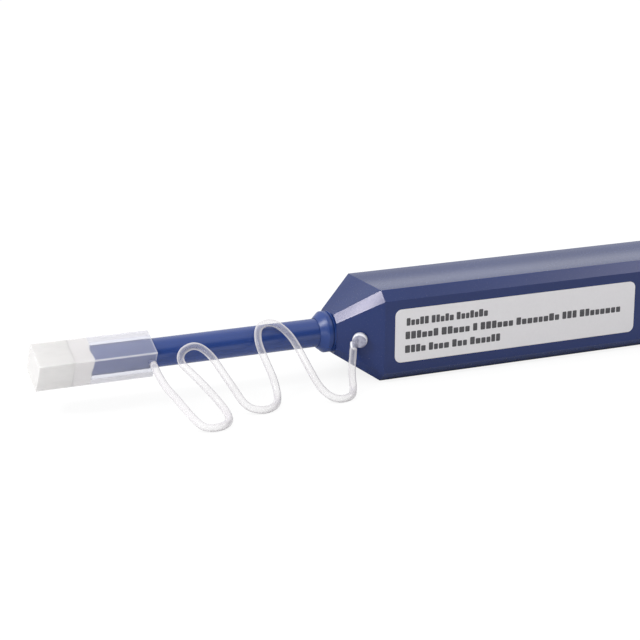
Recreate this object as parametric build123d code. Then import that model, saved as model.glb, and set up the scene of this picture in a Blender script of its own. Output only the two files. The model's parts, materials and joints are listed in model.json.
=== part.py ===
"""Fibre connector cleaning pen.

A square case with a pyramid nose, a sliding nozzle with its reels, a guide cap with its lid, and
the moulded tether between cap and case. X runs along the pen to the rear, Z is up.
"""

import os
from math import asin, atan2, ceil, cos, hypot, pi, radians, sin, sqrt, tan

from build123d import *

# Lengths along the pen, from the front to the rear, in millimetres
CAP_LENGTH = 22.5
BARE_NOZZLE_LENGTH = 33.7
COLLAR_LENGTH = 2.8
NOSE_LENGTH = 7.8
BODY_LENGTH = 163.2

# Case
BODY_WIDTH = 18.0
BODY_CHAMFER = 1.87
CASE_WALL = 1.5
NOSE_SIDE = 7.8
NOSE_CHAMFER = 1.4
NOSE_FRONT_WALL = 2.0
REAR_PLATE = 2.0
REAR_PLUG_DEPTH = 8.0
REAR_EDGE = 0.5
PLUG_CLEARANCE = 0.1
CATCH_RADIUS = 0.4
CATCH_WIDTH = 8.0
CATCH_SETBACK = 4.0
CATCH_CLEARANCE = 0.05
REAR_STEM_LENGTH = 38.0
STEM_RIB = 1.2
STEM_WIDTH = 10.0
STEM_SEAT = 1.5
SPIGOT_LENGTH = 4.5

# Label on the front face
LABEL_LENGTH = 54.5
LABEL_HEIGHT = 10.55
LABEL_CORNER = 1.3
LABEL_THICKNESS = 0.1
LABEL_SETBACK = 2.2
LABEL_BELOW_TOP = 3.7

# Nozzle, collar and the strokes
NOZZLE_RADIUS = 2.75
NOZZLE_WALL = 0.85
RUNNING_CLEARANCE = 0.05
PUSH_STROKE = 10.0
PRESS_STROKE = 0.8
NOZZLE_SETBACK_IN_CAP = 10.8
COLLAR_RIM_WIDTH = 0.8
COLLAR_BEVEL_LENGTH = 1.4
COLLAR_GROOVE = 0.3
COLLAR_GROOVE_WIDTH = 0.35
COLLAR_RIM = 0.25
COLLAR_WALL = 0.4
COLLAR_STEM_LENGTH = 10.5
BARB_HEIGHT = 0.2
BARB_LENGTH = 1.2
FLANGE_HEIGHT = 1.45
FLANGE_THICKNESS = 1.2
NOZZLE_TAIL = 1.2
TURN_PIN_RADIUS = 0.35
TURN_PIN_FROM_STEM_END = 1.9
TURN_PIN_GAP = 0.1
TURN_ANGLE = 180.0
SLOT_CLEARANCE = 0.15
GROOVE_WIDTH = 1.3
GROOVE_DEPTH = 0.35

# Tip: insert, shaft, head and the crosshead behind them
INSERT_FLANGE_INSET = 0.45
INSERT_FLANGE = 0.4
INSERT_RADIUS = 1.6
INSERT_NOSE_RADIUS = 1.2
INSERT_REACH = 2.0
INSERT_PLUG = 3.0
INSERT_FUNNEL_WALL = 0.2
INSERT_BORE = 0.75
SHAFT_RADIUS = 1.0
SHAFT_CLEARANCE = 0.3
JOURNAL_RADIUS = 0.5
HEAD_RADIUS = 0.35
HEAD_REACH = 0.7
HEAD_SOCKET = 4.0
HEAD_ROUND = 0.25
CROSSHEAD_HEIGHT = 2.0
CROSSHEAD_THICKNESS = 2.0
STOP_GAP = 0.1
TIP_SPRING_LENGTH = 7.9
TIP_SPRING_RADIUS = 0.72
TIP_SPRING_WIRE = 0.13
TIP_SPRING_TURNS = 5
SPRING_NUB_RADIUS = 0.45
SPRING_NUB_LENGTH = 0.8
PILLAR_THICKNESS = 1.4
RAIL_HEIGHT = 1.0
RAIL_THICKNESS = 0.8

# Thread, a narrow tape
THREAD_WIDTH = 0.6
THREAD_THICKNESS = 0.25
THREAD_GAP = 0.05
THREAD_TO_SHAFT = 0.225
THREAD_BEND = 0.5
THREAD_FUNNEL_BEND = 2.0
THREAD_TURN_AT_ROLLER = 2.0

# Carrier: two half shells that hold the reels
CARRIER_CLEARANCE = 0.15
CARRIER_WALL = 1.15
CARRIER_EDGE = 1.2
CARRIER_SKIN = 1.0
CARRIER_FRONT_WALL = 3.8
CARRIER_REAR_WALL = 1.5
CARRIER_LENGTH = 85.9
COLLAR_TO_CARRIER = 0.1
SCREW_RADIUS = 0.75
SCREW_HOLE_CLEARANCE = 0.3
SCREW_HEAD_RADIUS = 1.6
SCREW_HEAD_HEIGHT = 0.6
SCREW_HEAD_SEAT = 0.7
SCREW_TIP_INSET = 0.45
SCREW_BOSS_RADIUS = 1.7
SCREW_FROM_CEILING = 1.45
SCREW_SETBACK_FRONT = 18.4
SCREW_SETBACK_REAR = 3.4
SHORT_BOSS_TO_RACK = 0.5

# Reels
TAKEUP_FROM_CARRIER_REAR = 12.5
REEL_PITCH = 16.0
REEL_FLANGE = 0.8
REEL_SHARE = 0.819
REEL_HUB_WALL = 0.65
TAKEUP_HUB_WALL = 1.05
FRESH_ROLL_INSET = 0.6
USED_ROLL_DEPTH = 0.4
ROLL_SIDE_GAP = 0.15
POST_SHARE = 0.2885
POST_CLEARANCE = 0.05
BOSS_WALL = 0.9
BOSS_GAP = 0.1
POST_SOCKET = 0.5
BRAKE_THICKNESS = 0.8
BRAKE_RADIUS = 3.2
BRAKE_HOLE_CLEARANCE = 0.15
ROLLER_RADIUS = 0.8
ROLLER_FROM_CEILING = 1.45
ROLLER_SOCKET = 0.5
FIRST_ROLLER_BEFORE_SUPPLY = 10.0
SPOKE_HOLES = 3
SPOKE_HOLE_RADIUS = 0.7

# Rack, pinion and ratchets
GEAR_MODULE = 0.5
PINION_TEETH = 16
PRESSURE_ANGLE = 20.0
BACKLASH = 0.14
ADDENDUM_SHARE = 0.8
DEDENDUM_SHARE = 1.1
FLANK_STEPS = 3
PINION_SHARE = 0.403
PINION_TO_WALL = 0.4
PINION_TO_REEL = 0.3
RACK_SPARE_TEETH = 2
RACK_PEG_RADIUS = 0.6
RACK_PEG_DEPTH = 1.0
RACK_CUT_CLEARANCE = 0.35
RATCHET_TEETH = 12
RATCHET_OUTER = 3.7
RATCHET_INNER = 3.2
RATCHET_DEPTH = 0.9
RATCHET_BOSS_WALL = 0.6
PAWL_COUNT = 2
PAWL_WIDTH = 0.6
PAWL_SWEEP = 70.0
RATCHET_CLEARANCE = 0.1
STOP_TEETH = 24
STOP_TOOTH_HEIGHT = 0.4
STOP_PAWL_ANGLE = 52.0
STOP_PAWL_THICKNESS = 0.3
STOP_PAWL_FOOT = 1.6
STOP_PAWL_TO_BOSS = 0.15
STOP_PAWL_GAP = 0.06

# Springs
WIRE_SIDES = 4
RETURN_SPRING_RADIUS = 3.6
RETURN_SPRING_WIRE = 0.4
RETURN_SPRING_TURNS = 8
SPIGOT_CLEARANCE = 0.2

# Guide cap and its lid
CAP_WALL = 0.32
CAP_TURN = 29.0
CAP_EDGE = 0.2
LID_LENGTH = 6.7
LID_WALL = 0.57
LID_FRONT_WALL = 1.3
LID_CLEARANCE = 0.05
LID_SPACE = 0.15
CAP_BORE_END_GAP = 0.3
CAP_CHAMBER_RADIUS = 1.9
CAP_CHAMBER_GAP = 0.3
FERRULE_BORE = 0.64
FERRULE_LEAD = 0.4

# Tether strand and the peg that holds it
TETHER_RADIUS = 0.7
BOSS_FROM_MOUTH = 0.8
BOSS_HEIGHT = 0.64
BOSS_OFF_CENTRE = 1.055
BOSS_ROOT = 0.16
BOSS_TURN = 90.0
TETHER_SIDES = 8
PEG_HEAD_RADIUS = 1.45
PEG_HEAD_HEIGHT = 1.2
PEG_HEAD_ROUND = 0.5
PEG_STEM_RADIUS = 0.8
PEG_STEM_LENGTH = 2.3
PEG_FROM_NOSE_BREAK = 3.97
PEG_BELOW_AXIS = 0.46
NECK_LENGTH = 1.3
NECK_OUT = 1.668
NECK_FORWARD = 1.096
NECK_DROP = 1.44
ARC_SHARE = 0.45

# Overrun of cuts
CUT = 1.0

# Stations along the pen
OVERALL_LENGTH = CAP_LENGTH + BARE_NOZZLE_LENGTH + COLLAR_LENGTH + NOSE_LENGTH + BODY_LENGTH
FRONT_X = -OVERALL_LENGTH / 2
CAP_MOUTH_X = FRONT_X + CAP_LENGTH
LID_REAR_X = FRONT_X + LID_LENGTH
COLLAR_FRONT_X = CAP_MOUTH_X + BARE_NOZZLE_LENGTH
NOSE_FRONT_X = COLLAR_FRONT_X + COLLAR_LENGTH
NOSE_BREAK_X = NOSE_FRONT_X + NOSE_LENGTH
REAR_X = NOSE_BREAK_X + BODY_LENGTH
CASE_REAR_X = REAR_X - REAR_PLATE
COLLAR_STEM_END_X = NOSE_FRONT_X + COLLAR_STEM_LENGTH
CARRIER_FRONT_X = COLLAR_STEM_END_X + COLLAR_TO_CARRIER
CARRIER_REAR_X = CARRIER_FRONT_X + CARRIER_LENGTH
SPRING_SEAT_X = CASE_REAR_X - REAR_STEM_LENGTH
NOZZLE_FRONT_X = FRONT_X + NOZZLE_SETBACK_IN_CAP
FLANGE_FRONT_X = CARRIER_FRONT_X + (CARRIER_FRONT_WALL - FLANGE_THICKNESS) / 2
NOZZLE_REAR_X = CARRIER_FRONT_X + CARRIER_FRONT_WALL + NOZZLE_TAIL - CARRIER_SKIN / 2
TURN_PIN_X = COLLAR_STEM_END_X - TURN_PIN_FROM_STEM_END
CROSSHEAD_FRONT_X = NOZZLE_REAR_X + STOP_GAP
CROSSHEAD_REAR_X = CROSSHEAD_FRONT_X + CROSSHEAD_THICKNESS
PILLAR_X = CROSSHEAD_REAR_X + TIP_SPRING_LENGTH
INSERT_FRONT_X = NOZZLE_FRONT_X - INSERT_FLANGE - INSERT_REACH
HEAD_FRONT_X = INSERT_FRONT_X - HEAD_REACH
SHAFT_FRONT_X = NOZZLE_FRONT_X + INSERT_PLUG - SHAFT_CLEARANCE
TAKEUP_X = CARRIER_REAR_X - TAKEUP_FROM_CARRIER_REAR
SUPPLY_X = TAKEUP_X - REEL_PITCH

# Sizes that follow from the nozzle
NOZZLE_BORE = NOZZLE_RADIUS - NOZZLE_WALL
GUIDE_BORE = NOZZLE_RADIUS + RUNNING_CLEARANCE
STEM_RADIUS = GUIDE_BORE + COLLAR_WALL
COLLAR_RADIUS = STEM_RADIUS + COLLAR_RIM_WIDTH
FLANGE_RADIUS = NOZZLE_RADIUS + FLANGE_HEIGHT
INSERT_FLANGE_RADIUS = NOZZLE_RADIUS - INSERT_FLANGE_INSET
CAP_SIDE = 2 * (GUIDE_BORE + CAP_WALL)
THREAD_LIFT = SHAFT_RADIUS + THREAD_TO_SHAFT + THREAD_THICKNESS / 2
SPIGOT_RADIUS = RETURN_SPRING_RADIUS - RETURN_SPRING_WIRE - SPIGOT_CLEARANCE

# Heights and the sizes that follow from the case
AXIS_Z = BODY_WIDTH / 2
CHAMFER_LOSS_SHARE = 2 - sqrt(2)
INNER_SIDE = BODY_WIDTH - 2 * CASE_WALL
INNER_CHAMFER = BODY_CHAMFER - CHAMFER_LOSS_SHARE * CASE_WALL
CARRIER_HALF = INNER_SIDE / 2 - CARRIER_CLEARANCE
CARRIER_INNER = CARRIER_HALF - CARRIER_WALL
CARRIER_CEILING = CARRIER_HALF - CARRIER_SKIN
PITCH_RADIUS = GEAR_MODULE * PINION_TEETH / 2
ADDENDUM = GEAR_MODULE * ADDENDUM_SHARE
DEDENDUM = GEAR_MODULE * DEDENDUM_SHARE
PINION_WIDTH = PINION_SHARE * CARRIER_INNER
PINION_HIGH_Y = CARRIER_INNER - PINION_TO_WALL
PINION_LOW_Y = PINION_HIGH_Y - PINION_WIDTH
REEL_HALF_WIDTH = PINION_LOW_Y - PINION_TO_REEL
REEL_RADIUS = REEL_SHARE * CARRIER_CEILING
POST_RADIUS = POST_SHARE * REEL_RADIUS
FRESH_ROLL_RADIUS = REEL_RADIUS - FRESH_ROLL_INSET
REEL_BORE = POST_RADIUS + POST_CLEARANCE
REEL_HUB_RADIUS = POST_RADIUS + POST_CLEARANCE + REEL_HUB_WALL
TAKEUP_HUB_RADIUS = POST_RADIUS + POST_CLEARANCE + TAKEUP_HUB_WALL
USED_ROLL_RADIUS = TAKEUP_HUB_RADIUS + USED_ROLL_DEPTH
BOSS_RADIUS = POST_RADIUS + BOSS_WALL
RATCHET_BOSS_RADIUS = POST_RADIUS + RATCHET_BOSS_WALL
PAWL_TIP_RADIUS = (RATCHET_INNER + RATCHET_OUTER) / 2
SCREW_OFFSET = CARRIER_CEILING - SCREW_FROM_CEILING
ROLLER_HEIGHT = CARRIER_CEILING - ROLLER_FROM_CEILING
SHORT_BOSS_END_Y = PINION_LOW_Y - SHORT_BOSS_TO_RACK
SCREW_SEAT_Y = SCREW_HEAD_SEAT - CARRIER_HALF
SCREW_TIP_Y = SHORT_BOSS_END_Y - SCREW_TIP_INSET
RACK_FLOOR_Z = AXIS_Z - INNER_SIDE / 2
RACK_PITCH_Z = AXIS_Z - PITCH_RADIUS
LEAD_PER_DEGREE = PUSH_STROKE / TURN_ANGLE
SPIGOT_END_X = CARRIER_REAR_X + SPIGOT_LENGTH
NOSE_SLOPE = (BODY_WIDTH - NOSE_SIDE) / 2 / NOSE_LENGTH

# Tether route, from the guide cap to the peg: points chosen by hand on the photograph
TETHER_ROUTE = [
    (-93.3, -3.8, 8.1),
    (-93.3, -8.1, 5.7),
    (-92.4, -13.4, 3.9),
    (-91.4, -18.7, 1.9),
    (-89.9, -22.2, 0.8),
    (-86.5, -22.4, 0.7),
    (-83.8, -19.6, 0.7),
    (-83.4, -15.6, 1.5),
    (-85.0, -11.5, 4.2),
    (-87.2, -7.5, 7.0),
    (-88.7, -4.6, 8.7),
    (-87.9, -3.5, 10.7),
    (-85.0, -3.1, 11.4),
    (-82.8, -4.9, 9.6),
    (-81.8, -8.4, 6.8),
    (-80.8, -12.2, 4.1),
    (-79.6, -15.9, 1.2),
    (-77.0, -17.7, 0.7),
    (-73.8, -16.5, 0.7),
    (-71.8, -13.4, 0.8),
    (-71.7, -9.9, 3.9),
    (-72.3, -6.6, 7.3),
    (-72.8, -3.6, 10.3),
    (-71.8, -1.4, 12.5),
    (-68.6, -1.0, 12.9),
    (-66.3, -3.2, 11.0),
    (-65.5, -6.6, 8.2),
    (-65.0, -10.3, 5.2),
    (-64.0, -14.0, 2.2),
    (-62.0, -16.6, 0.7),
    (-58.7, -16.2, 0.7),
    (-56.9, -13.5, 0.9),
    (-56.1, -11.0, 3.0),
    (-55.2, -9.2, 4.8),
    (-54.5, -8.1, 6.0),
    (-54.0, -7.2, 7.1),
]


# Plain building helpers
def station(x):
    """The plane across the pen at x, with its first axis along Y and its second along Z."""
    return Plane(origin=(x, 0, AXIS_Z), x_dir=(0, 1, 0), z_dir=(1, 0, 0))


def octagon(x, side, corner):
    """A square across the pen with its corners cut."""
    square = Rectangle(side, side)
    return station(x) * chamfer(square.vertices(), corner)


def bar(side, corner, x0, x1):
    return extrude(octagon(x0, side, corner), amount=x1 - x0)


def rod(radius, x0, x1):
    """A round bar along the pen's axis."""
    return extrude(station(x0) * Circle(radius), amount=x1 - x0)


def block(x0, x1, y0, y1, z0, z1):
    """A box between two corners."""
    return Pos((x0 + x1) / 2, (y0 + y1) / 2, (z0 + z1) / 2) * Box(x1 - x0, y1 - y0, z1 - z0)


def cross_rod(radius, x, z, y0, y1):
    """A round bar across the pen, along Y."""
    plane = Plane(origin=(x, y0, z), x_dir=(1, 0, 0), z_dir=(0, 1, 0))
    return extrude(plane * Circle(radius), amount=y1 - y0)


def side_plane(x, y, z):
    """A plane facing +Y, with its first axis along X and its second down along -Z."""
    return Plane(origin=(x, y, z), x_dir=(1, 0, 0), z_dir=(0, 1, 0))


def turned(points):
    """A body of revolution about the pen's axis, from (x, radius) points."""
    outline = Polyline(*[(x, 0, AXIS_Z + radius) for x, radius in points], close=True)
    axis = Axis((0, 0, AXIS_Z), (1, 0, 0))
    return revolve(make_face(outline), axis)


def along(start, direction, radius, length):
    """A round bar from a point, in a direction."""
    return extrude(Plane(origin=start, z_dir=direction) * Circle(radius), amount=length)


def coil(x0, x1, radius, wire, turns):
    """A compression spring along the pen's axis between two seats."""
    height = x1 - x0 - 2 * wire
    path = Helix(height / turns, height, radius, center=(x0 + wire, 0, AXIS_Z), direction=(1, 0, 0))
    section = Plane(origin=path @ 0, z_dir=path % 0) * RegularPolygon(wire, WIRE_SIDES)
    return sweep(section, path, is_frenet=True)


# Case
def case_shell():
    outer = bar(BODY_WIDTH, BODY_CHAMFER, NOSE_BREAK_X, CASE_REAR_X)
    nose = loft(
        [octagon(NOSE_FRONT_X, NOSE_SIDE, NOSE_CHAMFER), octagon(NOSE_BREAK_X, BODY_WIDTH, BODY_CHAMFER)],
        ruled=True,
    )
    slant_wall = CASE_WALL * hypot(1, NOSE_SLOPE)
    inner_front_x = NOSE_FRONT_X + NOSE_FRONT_WALL
    inner_front_side = NOSE_SIDE + 2 * (NOSE_FRONT_WALL * NOSE_SLOPE - slant_wall)
    inner_break_x = NOSE_BREAK_X + (INNER_SIDE / 2 + slant_wall - BODY_WIDTH / 2) / NOSE_SLOPE
    hollow = bar(INNER_SIDE, INNER_CHAMFER, inner_break_x, CASE_REAR_X + CUT)
    nose_hollow = loft(
        [
            octagon(inner_front_x, inner_front_side, NOSE_CHAMFER * inner_front_side / NOSE_SIDE),
            octagon(inner_break_x, INNER_SIDE, INNER_CHAMFER),
        ],
        ruled=True,
    )
    shell = outer + nose - hollow - nose_hollow
    shell -= rod(STEM_RADIUS, NOSE_FRONT_X - CUT, inner_front_x + CUT)
    shell -= peg_stem(PEG_STEM_LENGTH + CUT)
    for catch in rear_catches(CATCH_RADIUS + CATCH_CLEARANCE, CATCH_WIDTH + 2 * CATCH_CLEARANCE):
        shell -= catch
    for x in rack_peg_places():
        shell -= Pos(x, rack_middle_y(), RACK_FLOOR_Z) * Cylinder(RACK_PEG_RADIUS, 2 * RACK_PEG_DEPTH)
    return shell


def rear_catches(radius, width):
    """The two round beads that hold the rear cap, at the floor and the ceiling of the case."""
    catch_x = CASE_REAR_X - CATCH_SETBACK
    rise = INNER_SIDE / 2 - PLUG_CLEARANCE
    return [cross_rod(radius, catch_x, AXIS_Z + way * rise, -width / 2, width / 2) for way in (-1, 1)]


def rear_cap():
    cap = bar(BODY_WIDTH, BODY_CHAMFER, CASE_REAR_X, REAR_X)
    plug_side = INNER_SIDE - 2 * PLUG_CLEARANCE
    cap += bar(plug_side, INNER_CHAMFER, CASE_REAR_X - REAR_PLUG_DEPTH, CASE_REAR_X)
    cap -= bar(plug_side - 2 * CASE_WALL, INNER_CHAMFER, CASE_REAR_X - REAR_PLUG_DEPTH - CUT, CASE_REAR_X)
    for catch in rear_catches(CATCH_RADIUS, CATCH_WIDTH):
        cap += catch
    half, rib = STEM_WIDTH / 2, STEM_RIB / 2
    cap += block(SPRING_SEAT_X, CASE_REAR_X, -half, half, AXIS_Z - rib, AXIS_Z + rib)
    cap += block(SPRING_SEAT_X, CASE_REAR_X, -rib, rib, AXIS_Z - half, AXIS_Z + half)
    cap += rod(half, SPRING_SEAT_X, SPRING_SEAT_X + STEM_SEAT)
    cap += rod(SPIGOT_RADIUS, SPRING_SEAT_X - SPIGOT_LENGTH, SPRING_SEAT_X)
    return chamfer(cap.faces().sort_by(Axis.X)[-1].edges(), REAR_EDGE)


def nose_collar():
    groove_x = NOSE_FRONT_X - COLLAR_RIM - COLLAR_GROOVE_WIDTH
    barb_x = NOSE_FRONT_X + NOSE_FRONT_WALL
    barb = STEM_RADIUS + BARB_HEIGHT
    collar = turned(
        [
            (COLLAR_FRONT_X, GUIDE_BORE),
            (COLLAR_FRONT_X, GUIDE_BORE + RUNNING_CLEARANCE),
            (COLLAR_FRONT_X + COLLAR_BEVEL_LENGTH, COLLAR_RADIUS),
            (groove_x, COLLAR_RADIUS),
            (groove_x, COLLAR_RADIUS - COLLAR_GROOVE),
            (NOSE_FRONT_X - COLLAR_RIM, COLLAR_RADIUS - COLLAR_GROOVE),
            (NOSE_FRONT_X - COLLAR_RIM, COLLAR_RADIUS),
            (NOSE_FRONT_X, COLLAR_RADIUS),
            (NOSE_FRONT_X, STEM_RADIUS),
            (barb_x, STEM_RADIUS),
            (barb_x, barb),
            (barb_x + BARB_LENGTH, STEM_RADIUS),
            (COLLAR_STEM_END_X, STEM_RADIUS),
            (COLLAR_STEM_END_X, GUIDE_BORE),
        ]
    )
    return collar - turning_pin()


def turning_pin():
    """Steel pin across the collar's wall; its inner end runs in the shaft's helical groove."""
    inner_end = SHAFT_RADIUS - GROOVE_DEPTH + TURN_PIN_GAP
    outer_end = sqrt(STEM_RADIUS**2 - TURN_PIN_RADIUS**2)
    return cross_rod(TURN_PIN_RADIUS, TURN_PIN_X, AXIS_Z, inner_end, outer_end)


def label():
    x0 = NOSE_BREAK_X + LABEL_SETBACK
    top = BODY_WIDTH - LABEL_BELOW_TOP
    plane = side_plane(x0 + LABEL_LENGTH / 2, -BODY_WIDTH / 2 - LABEL_THICKNESS, top - LABEL_HEIGHT / 2)
    return extrude(plane * RectangleRounded(LABEL_LENGTH, LABEL_HEIGHT, LABEL_CORNER), amount=LABEL_THICKNESS)


# Tether
def facet_normal():
    """Outward direction of the nose's front facet."""
    size = hypot(1, NOSE_SLOPE)
    return Vector(-NOSE_SLOPE / size, -1 / size, 0)


def peg_foot():
    """Where the peg's axis meets the nose's front facet."""
    x = NOSE_BREAK_X - PEG_FROM_NOSE_BREAK
    y = -BODY_WIDTH / 2 + PEG_FROM_NOSE_BREAK * NOSE_SLOPE
    return Vector(x, y, AXIS_Z - PEG_BELOW_AXIS)


def peg_stem(length):
    return along(peg_foot(), -facet_normal(), PEG_STEM_RADIUS, length)


def tether_peg():
    foot, out = peg_foot(), facet_normal()
    head = along(foot, out, PEG_HEAD_RADIUS, PEG_HEAD_HEIGHT)
    rim = head.edges().filter_by(GeomType.CIRCLE).sort_by(lambda edge: (edge.center() - foot).dot(out))[-1]
    peg = fillet(rim, PEG_HEAD_ROUND) + peg_stem(PEG_STEM_LENGTH)
    forward = Vector(out.Y, -out.X, 0)
    neck = foot + out * NECK_OUT + forward * NECK_FORWARD - Vector(0, 0, NECK_DROP)
    last_run = Vector(*TETHER_ROUTE[-1]) - Vector(*TETHER_ROUTE[-2])
    return peg + along(neck, last_run, TETHER_RADIUS, NECK_LENGTH)


def corner_radii(route):
    """As large an arc at each corner of the route as its two runs allow."""
    radii = []
    for before, corner, after in zip(route, route[1:], route[2:]):
        first, second = Vector(*corner) - Vector(*before), Vector(*after) - Vector(*corner)
        turn = radians(first.get_angle(second))
        radii.append(ARC_SHARE * min(first.length, second.length) / tan(turn / 2))
    return radii


def tether():
    radii = corner_radii(TETHER_ROUTE)
    print("tether corner radii", [round(radius, 1) for radius in radii])
    path = FilletPolyline(*TETHER_ROUTE, radius=radii)
    section = Plane(origin=path @ 0, z_dir=path % 0) * RegularPolygon(TETHER_RADIUS, TETHER_SIDES)
    strand = sweep(section, path)
    print("tether length", round(path.length, 1), "volume over section times length",
          round(strand.volume / (path.length * section.area), 4))
    return strand


# Nozzle and what turns inside it
def nozzle_tube():
    tube = rod(NOZZLE_RADIUS, NOZZLE_FRONT_X, NOZZLE_REAR_X)
    tube += rod(FLANGE_RADIUS, FLANGE_FRONT_X, FLANGE_FRONT_X + FLANGE_THICKNESS)
    tube -= rod(NOZZLE_BORE, NOZZLE_FRONT_X - CUT, NOZZLE_REAR_X + CUT)
    half = TURN_PIN_RADIUS + SLOT_CLEARANCE
    slot_front, slot_rear = TURN_PIN_X - PUSH_STROKE - half, TURN_PIN_X + half
    return tube - block(slot_front, slot_rear, 0, NOZZLE_RADIUS + CUT, AXIS_Z - half, AXIS_Z + half)


def nozzle_tip():
    plug_end = NOZZLE_FRONT_X + INSERT_PLUG
    flange_x = NOZZLE_FRONT_X - INSERT_FLANGE
    return turned(
        [
            (plug_end, NOZZLE_BORE),
            (NOZZLE_FRONT_X, NOZZLE_BORE),
            (NOZZLE_FRONT_X, INSERT_FLANGE_RADIUS),
            (flange_x, INSERT_FLANGE_RADIUS),
            (flange_x, INSERT_RADIUS),
            (INSERT_FRONT_X, INSERT_NOSE_RADIUS),
            (INSERT_FRONT_X, INSERT_BORE),
            (NOZZLE_FRONT_X + INSERT_FLANGE, INSERT_BORE),
            (plug_end, NOZZLE_BORE - INSERT_FUNNEL_WALL),
        ]
    )


def tip_shaft():
    shaft = rod(SHAFT_RADIUS, SHAFT_FRONT_X, CROSSHEAD_FRONT_X)
    shaft += rod(JOURNAL_RADIUS, CROSSHEAD_FRONT_X, CROSSHEAD_REAR_X - SPRING_NUB_LENGTH)
    shaft -= rod(HEAD_RADIUS, SHAFT_FRONT_X - CUT, SHAFT_FRONT_X + HEAD_SOCKET)
    spare = TURN_PIN_RADIUS + SLOT_CLEARANCE
    start, end = TURN_PIN_X + spare, TURN_PIN_X - PUSH_STROKE - PRESS_STROKE - spare
    low = SHAFT_RADIUS - GROOVE_DEPTH
    section = Pos((low + NOZZLE_RADIUS) / 2, 0) * Rectangle(NOZZLE_RADIUS - low, GROOVE_WIDTH)
    first = station(start) * Rot(0, 0, -spare / LEAD_PER_DEGREE) * section
    turn = (start - end) / LEAD_PER_DEGREE
    groove = Solid.extrude_linear_with_rotation(first.face(), (start, 0, AXIS_Z), (end - start, 0, 0), -turn)
    return shaft - groove


def tip_head():
    head = rod(HEAD_RADIUS, HEAD_FRONT_X, SHAFT_FRONT_X + HEAD_SOCKET)
    return fillet(head.edges().filter_by(GeomType.CIRCLE).sort_by(Axis.X)[0], HEAD_ROUND)


def tip_bearing():
    half = CROSSHEAD_HEIGHT / 2
    reach = CARRIER_INNER - RUNNING_CLEARANCE
    crosshead = block(CROSSHEAD_FRONT_X, CROSSHEAD_REAR_X, -reach, reach, AXIS_Z - half, AXIS_Z + half)
    hole_end = CROSSHEAD_REAR_X - SPRING_NUB_LENGTH / 2
    crosshead -= rod(JOURNAL_RADIUS + RUNNING_CLEARANCE, CROSSHEAD_FRONT_X - CUT, hole_end)
    return crosshead + rod(SPRING_NUB_RADIUS, CROSSHEAD_REAR_X, CROSSHEAD_REAR_X + SPRING_NUB_LENGTH)


def tip_spring():
    return coil(CROSSHEAD_REAR_X, PILLAR_X, TIP_SPRING_RADIUS, TIP_SPRING_WIRE, TIP_SPRING_TURNS)


# Carrier halves
def screw_places():
    front, rear = CARRIER_FRONT_X + SCREW_SETBACK_FRONT, CARRIER_REAR_X - SCREW_SETBACK_REAR
    low, high = AXIS_Z - SCREW_OFFSET, AXIS_Z + SCREW_OFFSET
    return [(front, low), (front, high), (rear, low), (rear, high)]


def screw_boss_end(place):
    """The boss beside the rack is short; the others reach the base's wall."""
    beside_rack = place == screw_places()[2]
    return SHORT_BOSS_END_Y if beside_rack else CARRIER_INNER


def roller_places():
    z = AXIS_Z + ROLLER_HEIGHT
    return [(SUPPLY_X - FIRST_ROLLER_BEFORE_SUPPLY, z), (SUPPLY_X + REEL_PITCH / 2, z)]


def carrier_half(side):
    """One half of the carrier: side is 1 for the base, behind the axis, and -1 for the cover."""
    body = bar(2 * CARRIER_HALF, CARRIER_EDGE, CARRIER_FRONT_X, CARRIER_REAR_X)
    inside = block(
        CARRIER_FRONT_X + CARRIER_FRONT_WALL,
        CARRIER_REAR_X - CARRIER_REAR_WALL,
        -CARRIER_INNER,
        CARRIER_INNER,
        AXIS_Z - CARRIER_CEILING,
        AXIS_Z + CARRIER_CEILING,
    )
    body -= inside
    body -= rod(NOZZLE_RADIUS, CARRIER_FRONT_X - CUT, CARRIER_FRONT_X + CARRIER_FRONT_WALL + CUT)
    body -= rod(FLANGE_RADIUS, FLANGE_FRONT_X, FLANGE_FRONT_X + FLANGE_THICKNESS)
    body += rod(SPIGOT_RADIUS, CARRIER_REAR_X, SPIGOT_END_X)
    for way in (-1, 1):
        rail = AXIS_Z + way * (CROSSHEAD_HEIGHT / 2 + RUNNING_CLEARANCE)
        far = rail + way * RAIL_THICKNESS
        for wall in (-1, 1):
            inner, outer = wall * (CARRIER_INNER - RAIL_HEIGHT), wall * CARRIER_INNER
            body += block(
                CARRIER_FRONT_X + CARRIER_FRONT_WALL,
                PILLAR_X,
                min(inner, outer),
                max(inner, outer),
                min(rail, far),
                max(rail, far),
            )
    for place in screw_places():
        body += cross_rod(SCREW_BOSS_RADIUS, *place, -CARRIER_INNER, screw_boss_end(place))
    low, high = sorted((0, side * BODY_WIDTH))
    return body & block(CARRIER_FRONT_X - CUT, SPIGOT_END_X + CUT, low, high, 0, BODY_WIDTH)


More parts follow.
